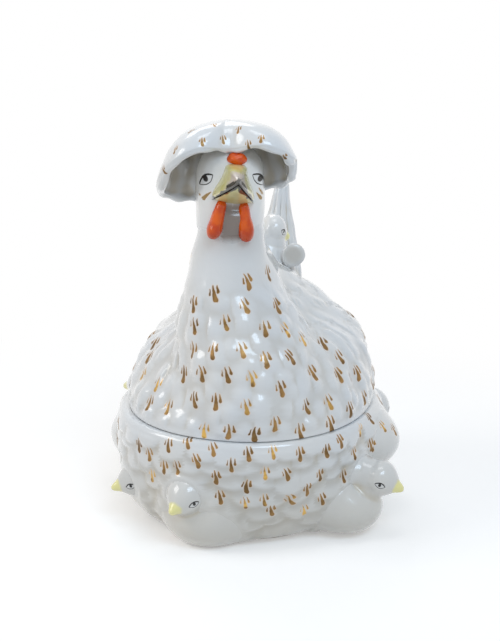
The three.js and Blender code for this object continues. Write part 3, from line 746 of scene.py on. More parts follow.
# Height, how many round, start turn, length
dishFeathers = [
    (10, 21, 3, 17), (22, 24, 11, 17), (34, 27, 2, 16), (46, 28, 8, 15), (58, 29, 1, 15),
    (70, 30, 7, 15), (82, 30, 3, 14), (94, 30, 8, 13),
]


def dishSize(height):
    share = (np.asarray(height) - dishLook["foot"]) / (dishLook["rimHeight"] - dishLook["foot"])
    return readRows(dishProfileShares, share)[:, 1].reshape(np.shape(height))


def dishSkin(turns, height):
    size = float(dishSize(np.array([height]))[0])
    x, y = ovalPoint(
        turns,
        dishLook["rimHalfWidth"] * size,
        dishLook["rimHalfLength"] * size,
        dishLook["rimHalfLength"] * size,
        dishLook["bluntness"],
    )
    return levelRing(x, y, height)


# A point's place in the dish's plan: 1 on the skin, less inside.
def dishLevel(points):
    size = dishSize(points[:, 2])
    n = dishLook["bluntness"]
    x = np.abs(points[:, 0]) / (dishLook["rimHalfWidth"] * size)
    y = np.abs(points[:, 1]) / (dishLook["rimHalfLength"] * size)
    return (x**n + y**n) ** (1 / n)


# Chicks: breast, throat and head fused into one smooth form.
chickLook = {
    "throat": 0.92,
    "nape": 0.8,
    "tableClearance": 0.6,
    "voxel": 1.2,
    "rounds": 8,
    "beakShare": 0.68,
    "beakSwell": 1.25,
    "eyeLift": -0.06,
}
# Half width, half depth, half height
chickBreast = (33, 30, 24)
chickHeadShares = [
    (-0.42, 0.72), (-0.22, 0.95), (0.0, 1.03), (0.16, 1.0), (0.32, 0.89), (0.46, 0.73),
    (0.58, 0.55), (0.7, 0.37), (0.84, 0.27), (0.95, 0.18), (1.0, 0.07),
]
# Breast: turn, height share, swell share. Head: turn, height share, millimetres out from the wall.
# Then where it looks, how far down, its radius and reach, and where its eyes lie on the reach.
chickShares = {
    "chick_front": ((-5, 0.2, 0.58), (-9.7, 0.463, 0), -16, 20, 15, 24, 0.3),
    "chick_left_front": ((68, 0.22, 1.12), (72.5, 0.505, 21), 79, 18, 15.8, 23.6, 0.24),
    "chick_right_front": ((-46, 0.34, -0.05), (-46, 0.4, -5.0), -58, 17, 14, 24.4, 0.33),
    "chick_right_back": ((-89, 0.54, 0.6), (-110, 0.84, 11), -106, 18, 15.5, 28.8, 0.24),
    "chick_left_back": ((92, 0.66, 0.72), (117, 0.78, -3.4), 152, 14, 16.5, 27.2, 0.3),
    "chick_back_right": ((-146, 0.2, 0.5), (-149, 0.458, 6), -158, 18, 16, 26, 0.24),
    "chick_back_left": ((150, 0.2, 0.55), (155, 0.462, 8), 166, 16, 16, 26, 0.24),
}


def camel(words):
    first, *rest = words.split("_")
    return first + "".join(word.capitalize() for word in rest)


# The head and beak of a chick along its own way, and the ways that its face goes by.
def chickHead(radius, reach, root, look, dip, eyes):
    turns = turnsOf(64)
    look, dip = math.radians(look), math.radians(dip)
    ahead = np.array([math.sin(look) * math.cos(dip), -math.cos(look) * math.cos(dip), -math.sin(dip)])
    aside = np.array([math.cos(look), math.sin(look), 0.0])
    up = np.cross(aside, ahead)
    rings = []
    for along in np.linspace(chickHeadShares[0][0], 1, 70):
        size = radius * readRows(chickHeadShares, along)[0, 1]
        ring = np.cos(turns)[:, None] * aside + np.sin(turns)[:, None] * up
        rings.append(root + ahead * reach * along + size * ring)
    face = {"radius": radius, "reach": reach, "root": root, "ahead": ahead, "aside": aside, "up": up}
    face |= {"eyes": eyes, "lift": chickLook["eyeLift"]}
    return formOfRings(np.array(rings)), face


def markFace(piece, face):
    k = chickLook
    offset = pointsOf(piece) - face["root"]
    forward = offset @ face["ahead"]
    along = forward / face["reach"]
    off = np.linalg.norm(offset - np.outer(forward, face["ahead"]), axis=1)
    sizes = face["radius"] * readRows(chickHeadShares, along)[:, 1]
    attributeOn(piece, "beak", np.where(off < sizes * k["beakSwell"] + 1, along, 0))
    size = face["radius"] * readRows(chickHeadShares, face["eyes"])[0, 1]
    spots = []
    for side in (-1, 1):
        place = face["root"] + face["ahead"] * face["reach"] * face["eyes"]
        place = place + size * (face["aside"] * side * 0.97 + face["up"] * face["lift"])
        spots.append({"place": place, "along": face["ahead"], "seed": 0.5 + 0.5 * side})
    printMarks(piece, spots, "eye")


def holdInDish(points, depth):
    level = dishLevel(points)
    reach = np.hypot(points[:, 0], points[:, 1])
    least = 1 - depth / np.maximum(reach / np.maximum(level, 1e-3), 1)
    scale = np.where(level < least, least / np.maximum(level, 1e-3), 1)
    points[:, :2] *= scale[:, None]
    return points


def besideDish(degrees, share, out):
    turn = math.radians(degrees)
    height = dishLook["foot"] + (dishLook["rimHeight"] - dishLook["foot"]) * share
    spot = dishSkin(np.array([turn]), height)[0]
    return spot + np.array([math.sin(turn), -math.cos(turn), 0]) * out


def makeChick(node):
    k = chickLook
    breast, head, look, dip, radius, reach, eyes = chickShares[node]
    chestPlace = besideDish(breast[0], breast[1], (breast[2] - 1) * chickBreast[1])
    headPlace = besideDish(*head)
    chest = ballForm(chickBreast, chestPlace, math.radians(breast[0]))
    headForm, face = chickHead(radius, reach, headPlace, look, dip, eyes)
    way = Vector(headPlace - chestPlace)
    wide = radius * k["throat"]
    throat = bmesh.new()
    turned = way.to_track_quat("Z", "Y").to_matrix().to_4x4()
    matrix = Matrix.Translation(Vector((chestPlace + headPlace) / 2) * mm) @ turned
    matrix = matrix @ Matrix.Diagonal((wide * mm, wide * mm, (way.length + chickBreast[2]) / 2 * mm, 1))
    bmesh.ops.create_uvsphere(throat, u_segments=40, v_segments=24, radius=1, matrix=matrix)
    forms = [chest, headForm, throat]
    # A nape joins a head that stands out to the wall behind it.
    if head[2] > radius / 4:
        level = np.array([math.sin(math.radians(look)), -math.cos(math.radians(look)), 0])
        for back in np.linspace(0.25, 1, 5) * (head[2] + radius * k["nape"]):
            forms.append(ballForm((radius, radius, radius), headPlace - level * back, 0, 36))
    piece = fuse(camel(node), forms, k["voxel"], k["rounds"])
    neighbour = treeWithBox(piece)
    # Slip fills the joint widely at the breast and narrowly at the head.
    points = pointsOf(piece)
    rise, _ = luteRise(points, normalsOf(piece), [plainDish], dishLook["breastLute"])
    fromHead = np.linalg.norm(points - headPlace, axis=1) / radius
    rise *= 0.25 + 0.75 * smoothStep(1.1, 2.0, fromHead)
    points = holdInDish(points + normalsOf(piece) * rise[:, None], dishLook["skinDepth"])
    points[:, 2] = np.maximum(points[:, 2], k["tableClearance"])
    movePoints(piece, points)
    chestSkin = pieceFrom("chest", ballForm(chickBreast, chestPlace, math.radians(breast[0])))
    chestTree = treeWithBox(chestSkin)
    bpy.data.objects.remove(chestSkin)
    return piece, face, neighbour, chestTree


plainHeights = np.linspace(dishLook["foot"], dishLook["rimHeight"], 50)
plainDish = smoothSkin(np.array([dishSkin(turnsOf(160), height) for height in plainHeights]))
chickPieces, chickFaces, chickTrees, chestTrees = {}, {}, [], []
for node in chickShares:
    chickPieces[node], chickFaces[node], *trees = makeChick(node)
    chickTrees.append(trees[0])
    chestTrees.append(trees[1])
print("chicks made")


def makeDish():
    d = dishLook
    turns = turnsOf(d["columns"])

    def ovalAt(halfWidth, halfLength, height):
        return levelRing(*ovalPoint(turns, halfWidth, halfLength, halfLength, d["bluntness"]), height)

    outerHeights = np.linspace(d["foot"], d["rimHeight"] - d["rimRound"], d["outerRows"])
    rings = [dishSkin(turns, d["foot"]) * (share, share, 1) for share in (0.3, 0.7, 0.94)]
    rings += [dishSkin(turns, height) for height in outerHeights]
    firstSkin, lastSkin = 3, 3 + d["outerRows"]
    rim = d["rimHalfWidth"] * 0.985, d["rimHalfLength"] * 0.985
    for angle in np.radians([25, 50, 72, 90]):
        inward, drop = d["rimRound"] * (1 - math.cos(angle)), d["rimRound"] * (1 - math.sin(angle))
        rings.append(ovalAt(rim[0] - inward, rim[1] - inward, d["rimHeight"] - drop))
    mouth = d["rimHalfWidth"] - d["rimWidth"], d["rimHalfLength"] - d["rimWidth"]
    for angle in np.radians([90, 60, 30, 0]):
        outward, drop = d["rimRound"] * (1 - math.cos(angle)), d["rimRound"] * (1 - math.sin(angle))
        rings.append(ovalAt(mouth[0] + outward, mouth[1] + outward, d["rimHeight"] - drop))
    floorTop = d["foot"] + d["floor"]
    hollow = d["rimHeight"] - floorTop
    # Height above the floor against the hollow's, and size against the rim's
    inside = [
        (0.97, mouth[0] / d["rimHalfWidth"]),
        (0.9, mouth[0] / d["rimHalfWidth"]),
        (0.78, 0.925),
        (0.506, 0.938),
        (0.304, 0.9),
        (0.147, 0.84),
        (0.04, 0.752),
        (0.005, 0.65),
        (0.0, 0.4),
        (0.0, 0.1),
    ]
    steps = np.linspace(0, len(inside) - 1, d["innerRows"])
    path = readRows([(i, *row) for i, row in enumerate(inside)], steps)
    for _, up, size in path:
        rings.append(ovalAt(d["rimHalfWidth"] * size, d["rimHalfLength"] * size, floorTop + hollow * up))
    rings = np.array(rings)
    skin = rings[firstSkin:lastSkin]
    turnGrid = np.broadcast_to(turns, skin.shape[:2])
    radii = np.hypot(skin[..., 0], skin[..., 1])
    relief, under, tips = featherRows(turnGrid, skin[..., 2], radii, dishFeathers, d["feathers"], 11)
    # The band under the rim and the edge of the foot stay plain.
    plain = smoothStep(d["rimHeight"] - 4, d["rimHeight"] - 8, skin[..., 2])
    plain *= smoothStep(d["foot"], d["foot"] + 5, skin[..., 2])
    relief = relief + ripple(skin, 34, 5) * 0.5
    ways = outwardOf(rings)[firstSkin:lastSkin]
    points, outward = skin.reshape(-1, 3), ways.reshape(-1, 3)
    rise, near = luteRise(points, outward, chickTrees, d["lute"])
    breastRise, _ = luteRise(points, outward, chestTrees, d["breastLute"])
    rise, near = np.maximum(rise, breastRise).reshape(relief.shape), near.reshape(relief.shape)
    rise *= smoothStep(d["rimHeight"] - 1, d["rimHeight"] - 9, skin[..., 2])
    plain *= 1 - smoothStep(0.6, 0.98, near)
    rings[firstSkin:lastSkin] = skin + ways * (relief * plain + rise)[..., None]
    # Slip runs down to the table, and no lower.
    rings[..., 2] = np.maximum(rings[..., 2], d["slipFoot"])
    piece = bodyOfRings("nestDish", rings)
    # Painted shadow under the feather tips, none on the plain bands.
    shade = np.zeros(rings.shape[:2])
    shade[firstSkin:lastSkin] = under * plain
    attributeOn(piece, "under", np.concatenate([[0], shade.ravel(), [0]]))
    return piece, tips


dishPiece, dishTips = makeDish()
print("dish made", len(dishPiece.data.polygons))


# The hen's body: an egg-shaped body and a column of breast and neck, as in her solid.
henLook = {
    "seat": 98.3,
    "halfWidth": 109.5,
    "slip": 2,
    "slipNarrow": 2,
    "sway": 3,
    "halfLength": 124.5,
    "rise": 166,
    "wall": 5.5,
    "lute": 10,
    "hollowShare": 0.93,
    "columns": 400,
    "outerRows": 128,
    "innerRows": 26,
    "edgeRound": 1.6,
    "skinDepth": 2.4,
    "valleyShade": 0.5,
    "feathers": {"rise": 2.3, "width": 0.56, "soft": 1, "rootShare": 1.0, "jitter": 0.8, "sink": 0.35},
}
# How softly the body and the column of the breast run into each other
softShares = [(0.0, 0.3), (0.22, 15), (0.34, 11), (0.44, 6), (0.56, 4.5), (1.0, 6)]
bodyShares = [
    (0.0, 1.0, 0.0, 1.0, 1.0), (0.07, 0.998, 0.02, 0.975, 1.002), (0.13, 0.985, 0.05, 0.93, 0.988),
    (0.19, 0.965, 0.09, 0.88, 0.965), (0.25, 0.935, 0.13, 0.82, 0.935),
    (0.31, 0.893, 0.175, 0.76, 0.895), (0.37, 0.82, 0.225, 0.71, 0.84),
    (0.44, 0.675, 0.27, 0.67, 0.765), (0.505, 0.555, 0.28, 0.64, 0.665),
    (0.575, 0.45, 0.24, 0.62, 0.53), (0.64, 0.34, 0.12, 0.6, 0.37), (0.7, 0.28, -0.02, 0.58, 0.21),
    (0.77, 0.24, -0.18, 0.57, 0.06), (0.88, 0.2, -0.36, 0.56, -0.12),
    (1.0, 0.18, -0.46, 0.55, -0.28),
]
columnShares = [
    (0.0, 0.11, -0.37, 0.6, 0.627), (0.16, 0.14, -0.378, 0.585, 0.643),
    (0.25, 0.132, -0.386, 0.573, 0.618), (0.34, 0.108, -0.394, 0.554, 0.578),
    (0.43, 0.07, -0.402, 0.524, 0.53), (0.52, 0.03, -0.41, 0.48, 0.474),
    (0.6, 0.005, -0.418, 0.428, 0.426), (0.66, -0.01, -0.426, 0.388, 0.402),
    (0.73, -0.022, -0.436, 0.35, 0.37), (0.8, -0.028, -0.45, 0.318, 0.33),
    (0.88, -0.033, -0.474, 0.288, 0.29), (1.0, -0.04, -0.498, 0.262, 0.261),
]
spineShares = [(0.0, -0.08), (0.4, -0.16), (0.66, -0.3), (0.83, -0.44), (1.0, -0.498)]
# Height, how many round, start turn, length
henFeathers = [
    (108, 36, 0, 11), (122, 35, 6, 11), (136, 33, -2, 11), (150, 31, 7, 11), (164, 28, 0, 11),
    (178, 25, 10, 11), (192, 21, 2, 11), (206, 17, 20, 11), (220, 14, 8, 11), (234, 11, 0, 11),
]


# How far a level ray from a point inside an egg-shaped section runs to its edge.
def reachInEgg(turns, start, egg):
    near = np.zeros_like(turns)
    far = np.full_like(turns, 4 * henLook["halfLength"])
    for _ in range(36):
        reach = (near + far) / 2
        x = (start[0] + reach * np.sin(turns) - egg["x"]) / egg["wide"]
        behind = start[1] - reach * np.cos(turns) - egg["y"]
        y = behind / np.where(behind < 0, egg["ahead"], egg["behind"])
        inside = np.abs(x) ** egg["n"] + np.abs(y) ** egg["n"] < 1
        near = np.where(inside, reach, near)
        far = np.where(inside, far, reach)
    return near


def henSpine(share):
    aside = readRows(columnShares, share)[0, 1]
    return henLook["halfWidth"] * aside / 2, henLook["halfLength"] * readRows(spineShares, share)[0, 1]


def henSkin(turns, share, inward=0.0, height=None):
    h = henLook
    _, wide, widest, front, back = readRows(bodyShares, share)[0]
    _, aside, middle, columnWide, columnDeep = readRows(columnShares, share)[0]
    start = henSpine(share)
    body = {
        "x": h["slip"] * (1 - share) + h["sway"] * float(smoothStep(0.25, 0.45, np.array(share))),
        "y": h["halfLength"] * widest,
        "wide": h["halfWidth"] * wide - h["slipNarrow"] * (1 - share),
        "ahead": h["halfLength"] * (front + widest),
        "behind": h["halfLength"] * (back - widest),
        "n": 2 + (dishLook["bluntness"] - 2) * (1 - share),
    }
    column = {
        "x": h["halfWidth"] * aside,
        "y": h["halfLength"] * middle,
        "wide": h["halfWidth"] * columnWide,
        "ahead": h["halfLength"] * columnDeep,
        "behind": h["halfLength"] * columnDeep,
        "n": 2,
    }
    a, b = reachInEgg(turns, start, body), reachInEgg(turns, start, column)
    softness = readRows(softShares, share)[0, 1]
    blend = np.maximum(softness - np.abs(a - b), 0) / softness
    reach = np.maximum(a, b) + blend * blend * softness / 4 - inward
    z = h["seat"] + h["rise"] * share if height is None else height
    return levelRing(start[0] + reach * np.sin(turns), start[1] - reach * np.cos(turns), z)


# The head in its own frame stands on the middle of the neck's top and looks along -Y.
headLook = {
    "halfWidth": 28.5,
    "halfDepth": 30,
    "height": 72,
    "shift": 3,
    "turn": 20,
    "faceTilt": 5,
    "faceMiddleShare": 0.29,
    "gap": 0.3,
    "columns": 220,
    "rows": 110,
    "bibDrop": 8,
    "bibHalfWidth": 15,
    "bibSwell": 3.4,
}
headShares = [
    (0.0, 0.955, 0.96, 0.97), (0.12, 0.98, 1.05, 0.99), (0.3, 1.0, 1.07, 1.0),
    (0.5, 1.0, 1.05, 1.0), (0.68, 0.96, 1.03, 0.95), (0.83, 0.8, 0.95, 0.8), (0.94, 0.5, 0.62, 0.5),
    (1.0, 0.12, 0.14, 0.12),
]
neckTop = henLook["seat"] + henLook["rise"]
neckMiddle = henLook["halfLength"] * columnShares[-1][2]
headBase = Vector((-headLook["shift"], neckMiddle, neckTop + headLook["gap"]))
headTurn, faceTilt = math.radians(headLook["turn"]), math.radians(headLook["faceTilt"])
faceMiddle = headLook["height"] * headLook["faceMiddleShare"]


def onHead(points):
    x, y = turned(points[..., 0], points[..., 1], headTurn)
    return np.stack([x + headBase[0], y + headBase[1], points[..., 2] + headBase[2]], axis=-1)


def headRing(turns, share, grow=0.0, height=None):
    _, wide, front, back = readRows(headShares, share)[0]
    x, y = ovalPoint(
        turns,
        headLook["halfWidth"] * wide + grow,
        headLook["halfDepth"] * front + grow,
        headLook["halfDepth"] * back + grow,
    )
    return levelRing(x, y, headLook["height"] * share if height is None else height)


# Tail: a bundle of upright ribs.
tailLook = {
    "height": 112,
    "halfWidth": 24.5,
    "halfDepth": 22,
    "seat": 80,
    "root": 22,
    "ribs": 10,
    "ribDepth": 0.08,
    "aside": 3.4,
    "narrow": 0.3,
    "columns": 240,
    "rows": 90,
}
tailShares = [
    (0.0, 1.0, 1.1, 0.0), (0.18, 1.0, 1.05, 0.005), (0.36, 0.9, 0.86, 0.02),
    (0.55, 0.7, 0.68, 0.045), (0.74, 0.48, 0.52, 0.07), (0.88, 0.33, 0.4, 0.085),
    (0.96, 0.25, 0.3, 0.09), (1.0, 0.14, 0.16, 0.095),
]


def backHeight(behind):
    low, high = 0.0, 1.0
    for _ in range(30):
        share = (low + high) / 2
        if henLook["halfLength"] * readRows(bodyShares, share)[0, 4] > behind:
            low = share
        else:
            high = share
    return henLook["seat"] + henLook["rise"] * low


def makeTail():
    k = tailLook
    base = backHeight(k["seat"]) - k["root"]
    tall = k["height"] + k["root"]
    turns = turnsOf(k["columns"])
    rings = []
    for share in np.sin(np.linspace(0, math.pi / 2, k["rows"])):
        _, wide, deep, lean = readRows(tailShares, share)[0]
        # Rounded ribs with sharp grooves between them
        rib = 1 + k["ribDepth"] * (2 * np.abs(np.cos(turns * k["ribs"] / 2)) ** 0.6 - 1)
        high = float(smoothStep(0.3, 0.8, np.array(share)))
        x = k["aside"] * high + np.sin(turns) * k["halfWidth"] * wide * (1 - k["narrow"] * high) * rib
        y = k["seat"] + tall * lean - np.cos(turns) * k["halfDepth"] * deep * rib
        rings.append(levelRing(x, y, base + tall * share))
    rings = np.array(rings)
    rings = rings + outwardOf(rings) * (ripple(rings, 22, 17) * 0.4)[..., None]
    return bodyOfRings("tail", rings)


# Curled feathers beside the chick on the back: a stem that ends in a round spoon.
curlLook = {
    "radius": 10.5,
    "thickness": 7,
    "reach": 30,
    "root": 24,
    "seat": 34,
    "turn": 14,
    "voxel": 0.8,
    "rounds": 5,
    "dent": 0.8,
}
# How far aside, ahead and up the stem bends and the spoon lies
curlBendShares = (0.35, 0.2, 0.5)
curlEndShares = (0.8, 1.15, 0.88)


def makeCurl(name, side):
    k = curlLook
    root = Vector((side * k["root"], k["seat"], backHeight(k["seat"]) - 2 * henLook["wall"]))
    bend, end = (
        Vector((side * k["radius"] * aside, -k["radius"] * ahead, k["reach"] * up))
        for aside, ahead, up in (curlBendShares, curlEndShares)
    )
    forms = []
    for step in np.linspace(0, 1, 12):
        place = root + bend * (2 * step * (1 - step)) + end * (step * step)
        forms.append(ballForm((k["thickness"] / 2,) * 3, place, 0, 20))
    spoonPlace = root + end
    turn = math.radians(k["turn"]) * side
    forms.append(ballForm((k["radius"], k["thickness"] / 2, k["radius"]), spoonPlace, turn, 40))
    piece = fuse(name, forms, k["voxel"], k["rounds"])
    # The spoon's front is dished.
    points = pointsOf(piece)
    aside = np.hypot(points[:, 0] - spoonPlace.x, points[:, 2] - spoonPlace.z)
    front = points[:, 1] < spoonPlace.y
    points[:, 1] += k["dent"] * smoothStep(0.85, 0.2, aside / k["radius"]) * front
    movePoints(piece, points)
    # Painted shade on the curl, deepest in the spoon's dished front.
    attributeOn(piece, "under", 0.5 + 0.8 * smoothStep(0.95, 0.5, aside / k["radius"]) * front)
    return piece


tailPiece = makeTail()
curlPieces = {"left": makeCurl("leftCurl", 1), "right": makeCurl("rightCurl", -1)}


# The chick on the hen's back, which serves as the cover's handle.
backChickLook = {
    "seat": 34,
    "height": 58,
    "halfWidth": 16.5,
    "look": 122,
    "dip": 27,
    "eyes": 0.42,
    "eyeLift": -0.25,
    "voxel": 0.9,
    "rounds": 7,
}
# Half width, half depth, half height, how far aside and up; the head has a radius and a reach.
backBodyShares = (1.1, 1.3, 0.42, 0.36, 0.12)
backNeckShares = (0.88, 0.95, 0.36, 0.42, 0.38)
backHeadShares = (0.86, 1.2, 0.5, 0.6)


def makeBackChick():
    k = backChickLook
    seat = backHeight(k["seat"])
    forms = []
    for wide, deep, high, aside, up in (backBodyShares, backNeckShares):
        halves = (k["halfWidth"] * wide, k["halfWidth"] * deep, k["height"] * high)
        forms.append(ballForm(halves, (k["halfWidth"] * aside, k["seat"], seat + k["height"] * up)))
    radius, reach, aside, up = backHeadShares
    root = np.array([k["halfWidth"] * aside, k["seat"], seat + k["height"] * up])
    radius, reach = k["halfWidth"] * radius, k["halfWidth"] * reach
    headForm, face = chickHead(radius, reach, root, k["look"], k["dip"], k["eyes"])
    face["lift"] = k["eyeLift"]
    return fuse("backChick", [*forms, headForm], k["voxel"], k["rounds"]), face


chickPieces["back_chick"], chickFaces["back_chick"] = makeBackChick()


# What is luted to the hen ends a little under her skin.
def holdInHen(piece, tree, depth):
    points = pointsOf(piece)
    for i, point in enumerate(points):
        spot, normal, _, gap = tree.find_nearest(Vector(point))
        if gap > depth and (Vector(point) - spot).dot(normal) < 0:
            points[i] = spot - normal * depth
    movePoints(piece, points)


plainHen = smoothSkin(np.array([henSkin(turnsOf(140), share) for share in np.linspace(0, 1, 60)]))
onBack = [tailPiece, curlPieces["left"], curlPieces["right"], chickPieces["back_chick"]]
backTrees = [treeWithBox(piece) for piece in onBack]
for piece in onBack:
    luteTo(piece, [plainHen], henLook["lute"])
    holdInHen(piece, plainHen[0], henLook["skinDepth"])
print("tail, curls and the chick on the back made")


def makeHen():
    h = henLook
    turns = turnsOf(h["columns"])
    drop = h["wall"] / h["rise"]
    rings = []
    for share in np.linspace(h["hollowShare"], 0.012, h["innerRows"]):
        rings.append(henSkin(turns, min(share + drop, 1), h["wall"], h["seat"] + h["rise"] * share))
    # The lower edge is rounded between the inside and the skin.
    for angle in np.radians([0, 35, 65, 90]):
        rise = h["edgeRound"] * (1 - math.sin(angle))
        rings.append(henSkin(turns, 0, h["wall"] - h["edgeRound"] * (1 - math.cos(angle)), h["seat"] + rise))
    for angle in np.radians([90, 60, 30]):
        rise = h["edgeRound"] * (1 - math.sin(angle))
        rings.append(henSkin(turns, 0, h["edgeRound"] * (1 - math.cos(angle)), h["seat"] + rise))
    firstSkin = len(rings)
    shares = np.linspace(h["edgeRound"] / h["rise"], 1, h["outerRows"])
    headFoot = onHead(headRing(turns - headTurn, 0, 0.25))
    for share in shares:
        ring = henSkin(turns, share)
        toHead = float(smoothStep(0.86, 1.0, np.array(share)))
        ring[:, :2] += (headFoot[:, :2] - ring[:, :2]) * toHead
        rings.append(ring)
    rings = np.array(rings)
    skin = rings[firstSkin:]
    spines = np.array([henSpine(share) for share in shares])
    radii = np.hypot(skin[..., 0] - spines[:, :1], skin[..., 1] - spines[:, 1:])
    turnGrid = np.broadcast_to(turns, skin.shape[:2])
    relief, under, tips = featherRows(turnGrid, skin[..., 2], radii, henFeathers, h["feathers"], 23)
    heights = skin[..., 2]
    plain = smoothStep(h["seat"] + 1, h["seat"] + 9, heights) * smoothStep(232, 196, heights)
    # Combed feathers on the shoulders run back and up from the crease beside the breast.
    side = np.degrees(np.abs((turnGrid + math.pi) % (2 * math.pi) - math.pi))
    shoulder = smoothStep(44, 70, side) * smoothStep(165, 135, side)
    shoulder *= smoothStep(140, 172, heights) * smoothStep(250, 232, heights)
    wobble = ripple(skin, 18, 8) * 4.5
    comb = np.sin((heights - 0.6 * np.abs(skin[..., 1] + 60)) * 1.1 + wobble)
    breaks = smoothStep(0.0, 0.7, ripple(skin * (1, 0.6, 1.3), 13, 9))
    relief = relief * (1 - 0.5 * shoulder) + shoulder * (0.6 * comb * breaks)
    relief = relief * plain + ripple(skin, 40, 6) * 1.0 * smoothStep(h["seat"], h["seat"] + 14, heights)
    ways = outwardOf(rings)[firstSkin:]
    rise, near = luteRise(skin.reshape(-1, 3), ways.reshape(-1, 3), backTrees, h["lute"])
    relief = relief * (1 - smoothStep(0.3, 0.9, near.reshape(relief.shape))) + rise.reshape(relief.shape)
    rings[firstSkin:] = skin + ways * relief[..., None]
    # The neck ends inside the head, so that no edge shows between them.
    cap = []
    for above, inward in ((2.5, 0.1), (5, 0.5), (7.5, 1.6), (9, 4)):
        ring = headRing(turns - headTurn, above / headLook["height"], 0.25 - inward, above)
        cap.append(onHead(ring))
    rings = np.concatenate([rings, np.array(cap)])
    piece = bodyOfRings("henBody", rings)
    shade = np.zeros(rings.shape[:2])
    # Painted shade: the head's shadow on the front of the neck, and shade in the valleys between the lumps.
    aside = np.degrees(np.abs((turnGrid - headTurn + math.pi) % (2 * math.pi) - math.pi))
    underHead = smoothStep(236, 262, heights) * smoothStep(80, 20, aside) * 0.85
    valleys = under * plain * (1 - shoulder) * h["valleyShade"]
    shade[firstSkin : firstSkin + len(shares)] = np.maximum(valleys, underHead)
    shade[firstSkin + len(shares) :] = shade[firstSkin + len(shares) - 1]
    attributeOn(piece, "under", np.concatenate([[0], shade.ravel(), [0]]))
    return piece, tips


henPiece, henTips = makeHen()
print("hen made", len(henPiece.data.polygons))


# Marks that the photograph shows are placed by its pixels, and all others by the feather tips.
henMarkPixels = (
    (248, 283), (268, 274), (214, 295), (245, 307), (277, 307), (193, 305), (225, 324), (265, 330),
    (286, 331), (194, 327), (193, 351), (212, 352), (242, 351), (266, 361), (291, 358), (303, 340),
    (323, 344), (184, 375), (202, 375), (227, 376), (252, 380), (281, 390), (313, 374), (157, 385),
    (168, 408), (194, 401), (216, 403), (246, 408), (306, 408), (329, 403), (351, 411), (364, 399),
    (204, 431), (229, 433), (254, 435), (275, 425), (300, 433), (331, 426), (340, 358), (339, 376),
    (358, 374), (154, 344), (149, 357), (143, 374), (372, 383), (149, 404),
)
dishMarkPixels = (
    (168, 446), (187, 443), (213, 450), (248, 455), (273, 453), (300, 455), (326, 452), (341, 442),
    (360, 431), (370, 419), (383, 427), (149, 455), (164, 468), (177, 468), (197, 462), (231, 466),
    (265, 474), (287, 475), (320, 476), (343, 477), (354, 454), (366, 468), (357, 480), (152, 476),
    (216, 478), (246, 487), (307, 490), (220, 498), (245, 504), (264, 501),
    (290, 501), (322, 500), (342, 502), (271, 511), (304, 511), (139, 446), (371, 446),
    (394, 430),
)


def marksAt(pixels, piece, size, seed):
    rng = np.random.default_rng(seed)
    tree = treeOf(piece)
    spots = []
    for pixel in pixels:
        tone, other, lean = rng.uniform(0, 1, 3)
        place = pixelOn(tree, pixel)[0]
        lean = (lean - 0.35) * 0.4
        if place:
            spots.append({"place": place, "seed": tone, "other": other, "lean": lean, "size": size})
    return spots


def marksElsewhere(tips, skinOf, lowest, size, share, seed):
    rng = np.random.default_rng(seed)
    eye = camera.matrix_world.translation / mm
    spots = []
    for turn, height in tips:
        chance, tone, other, lean = rng.uniform(0, 1, 4)
        pair = skinOf(np.array([turn, turn + 0.02]), height)
        place, beside = Vector(pair[0]), Vector(pair[1] - pair[0])
        above = Vector(skinOf(np.array([turn]), height + 2)[0]) - place
        out = beside.cross(above).normalized()
        if height < lowest or chance > share or out.dot((eye - place).normalized()) > 0.12:
            continue
        lean = (lean - 0.5) * 0.35
        spots.append({"place": place, "seed": tone, "other": other, "lean": lean, "size": size})
    return spots


def henSkinAt(turns, height):
    return henSkin(turns, (height - henLook["seat"]) / henLook["rise"])


henSpots = marksAt(henMarkPixels, henPiece, 0.92, 31)
henSpots += marksElsewhere(henTips, henSkinAt, 104, 0.92, 0.42, 33)
dishSpots = marksAt(dishMarkPixels, dishPiece, 0.8, 32)
dishSpots += marksElsewhere(dishTips, dishSkin, 26, 0.8, 0.75, 34)
printMarks(henPiece, henSpots)
printMarks(dishPiece, dishSpots)
print("marks placed", len(henSpots), len(dishSpots))


# Head: the rings of its solid, run a little down into the neck.
def makeHead():
    h = headLook
    turns = turnsOf(h["columns"])
    rings = []
    # Below its foot the head stays inside the neck, but for the bib.
    for height in np.linspace(-h["bibDrop"] - 6, 0, 26)[:-1]:
        ring = headRing(turns, 0, height * -0.12 - 2.2, height)
        rings.append(ring)
    foot = len(rings)
    for share in np.sin(np.linspace(0, math.pi / 2, h["rows"])):
        rings.append(headRing(turns, share))
    rings = np.array(rings)
    ways = outwardOf(rings)
    ways[:2] = 0
    across = rings[..., 0] / h["bibHalfWidth"]
    low, high = -h["bibDrop"], h["height"] * 0.3
    down = (rings[..., 2] - low) / (high - low)
    away = np.sqrt(across**2 + np.clip(0.35 - down, 0, 1) ** 2 * 4)
    bib = smoothStep(1.0, 0.55, away) * smoothStep(1.0, 0.7, down) * (rings[..., 1] < 0)
    # Painted shade on the bib under the beak and between the wattles.
    up = (rings[..., 2] - low) / (h["height"] * 0.4 - low)
    shade = smoothStep(1.0, 0.5, np.abs(across) * 1.25) * smoothStep(-0.1, 0.16, up)
    shade *= smoothStep(1.0, 0.8, up) * (rings[..., 1] < 0)
    rings = rings + ways * (bib * np.where(rings[..., 2] < 0, h["bibSwell"] + 1.2, h["bibSwell"]))[..., None]
    rings = onHead(rings)
    relief = ripple(rings, 26, 3) * 0.35
    relief[:foot] = 0
    piece = bodyOfRings("henHead", rings + outwardOf(rings) * relief[..., None])
    rest = np.zeros(len(piece.data.vertices) - shade.size)
    attributeOn(piece, "bib", np.concatenate([shade.ravel(), rest]))
    return piece


headPiece = makeHead()


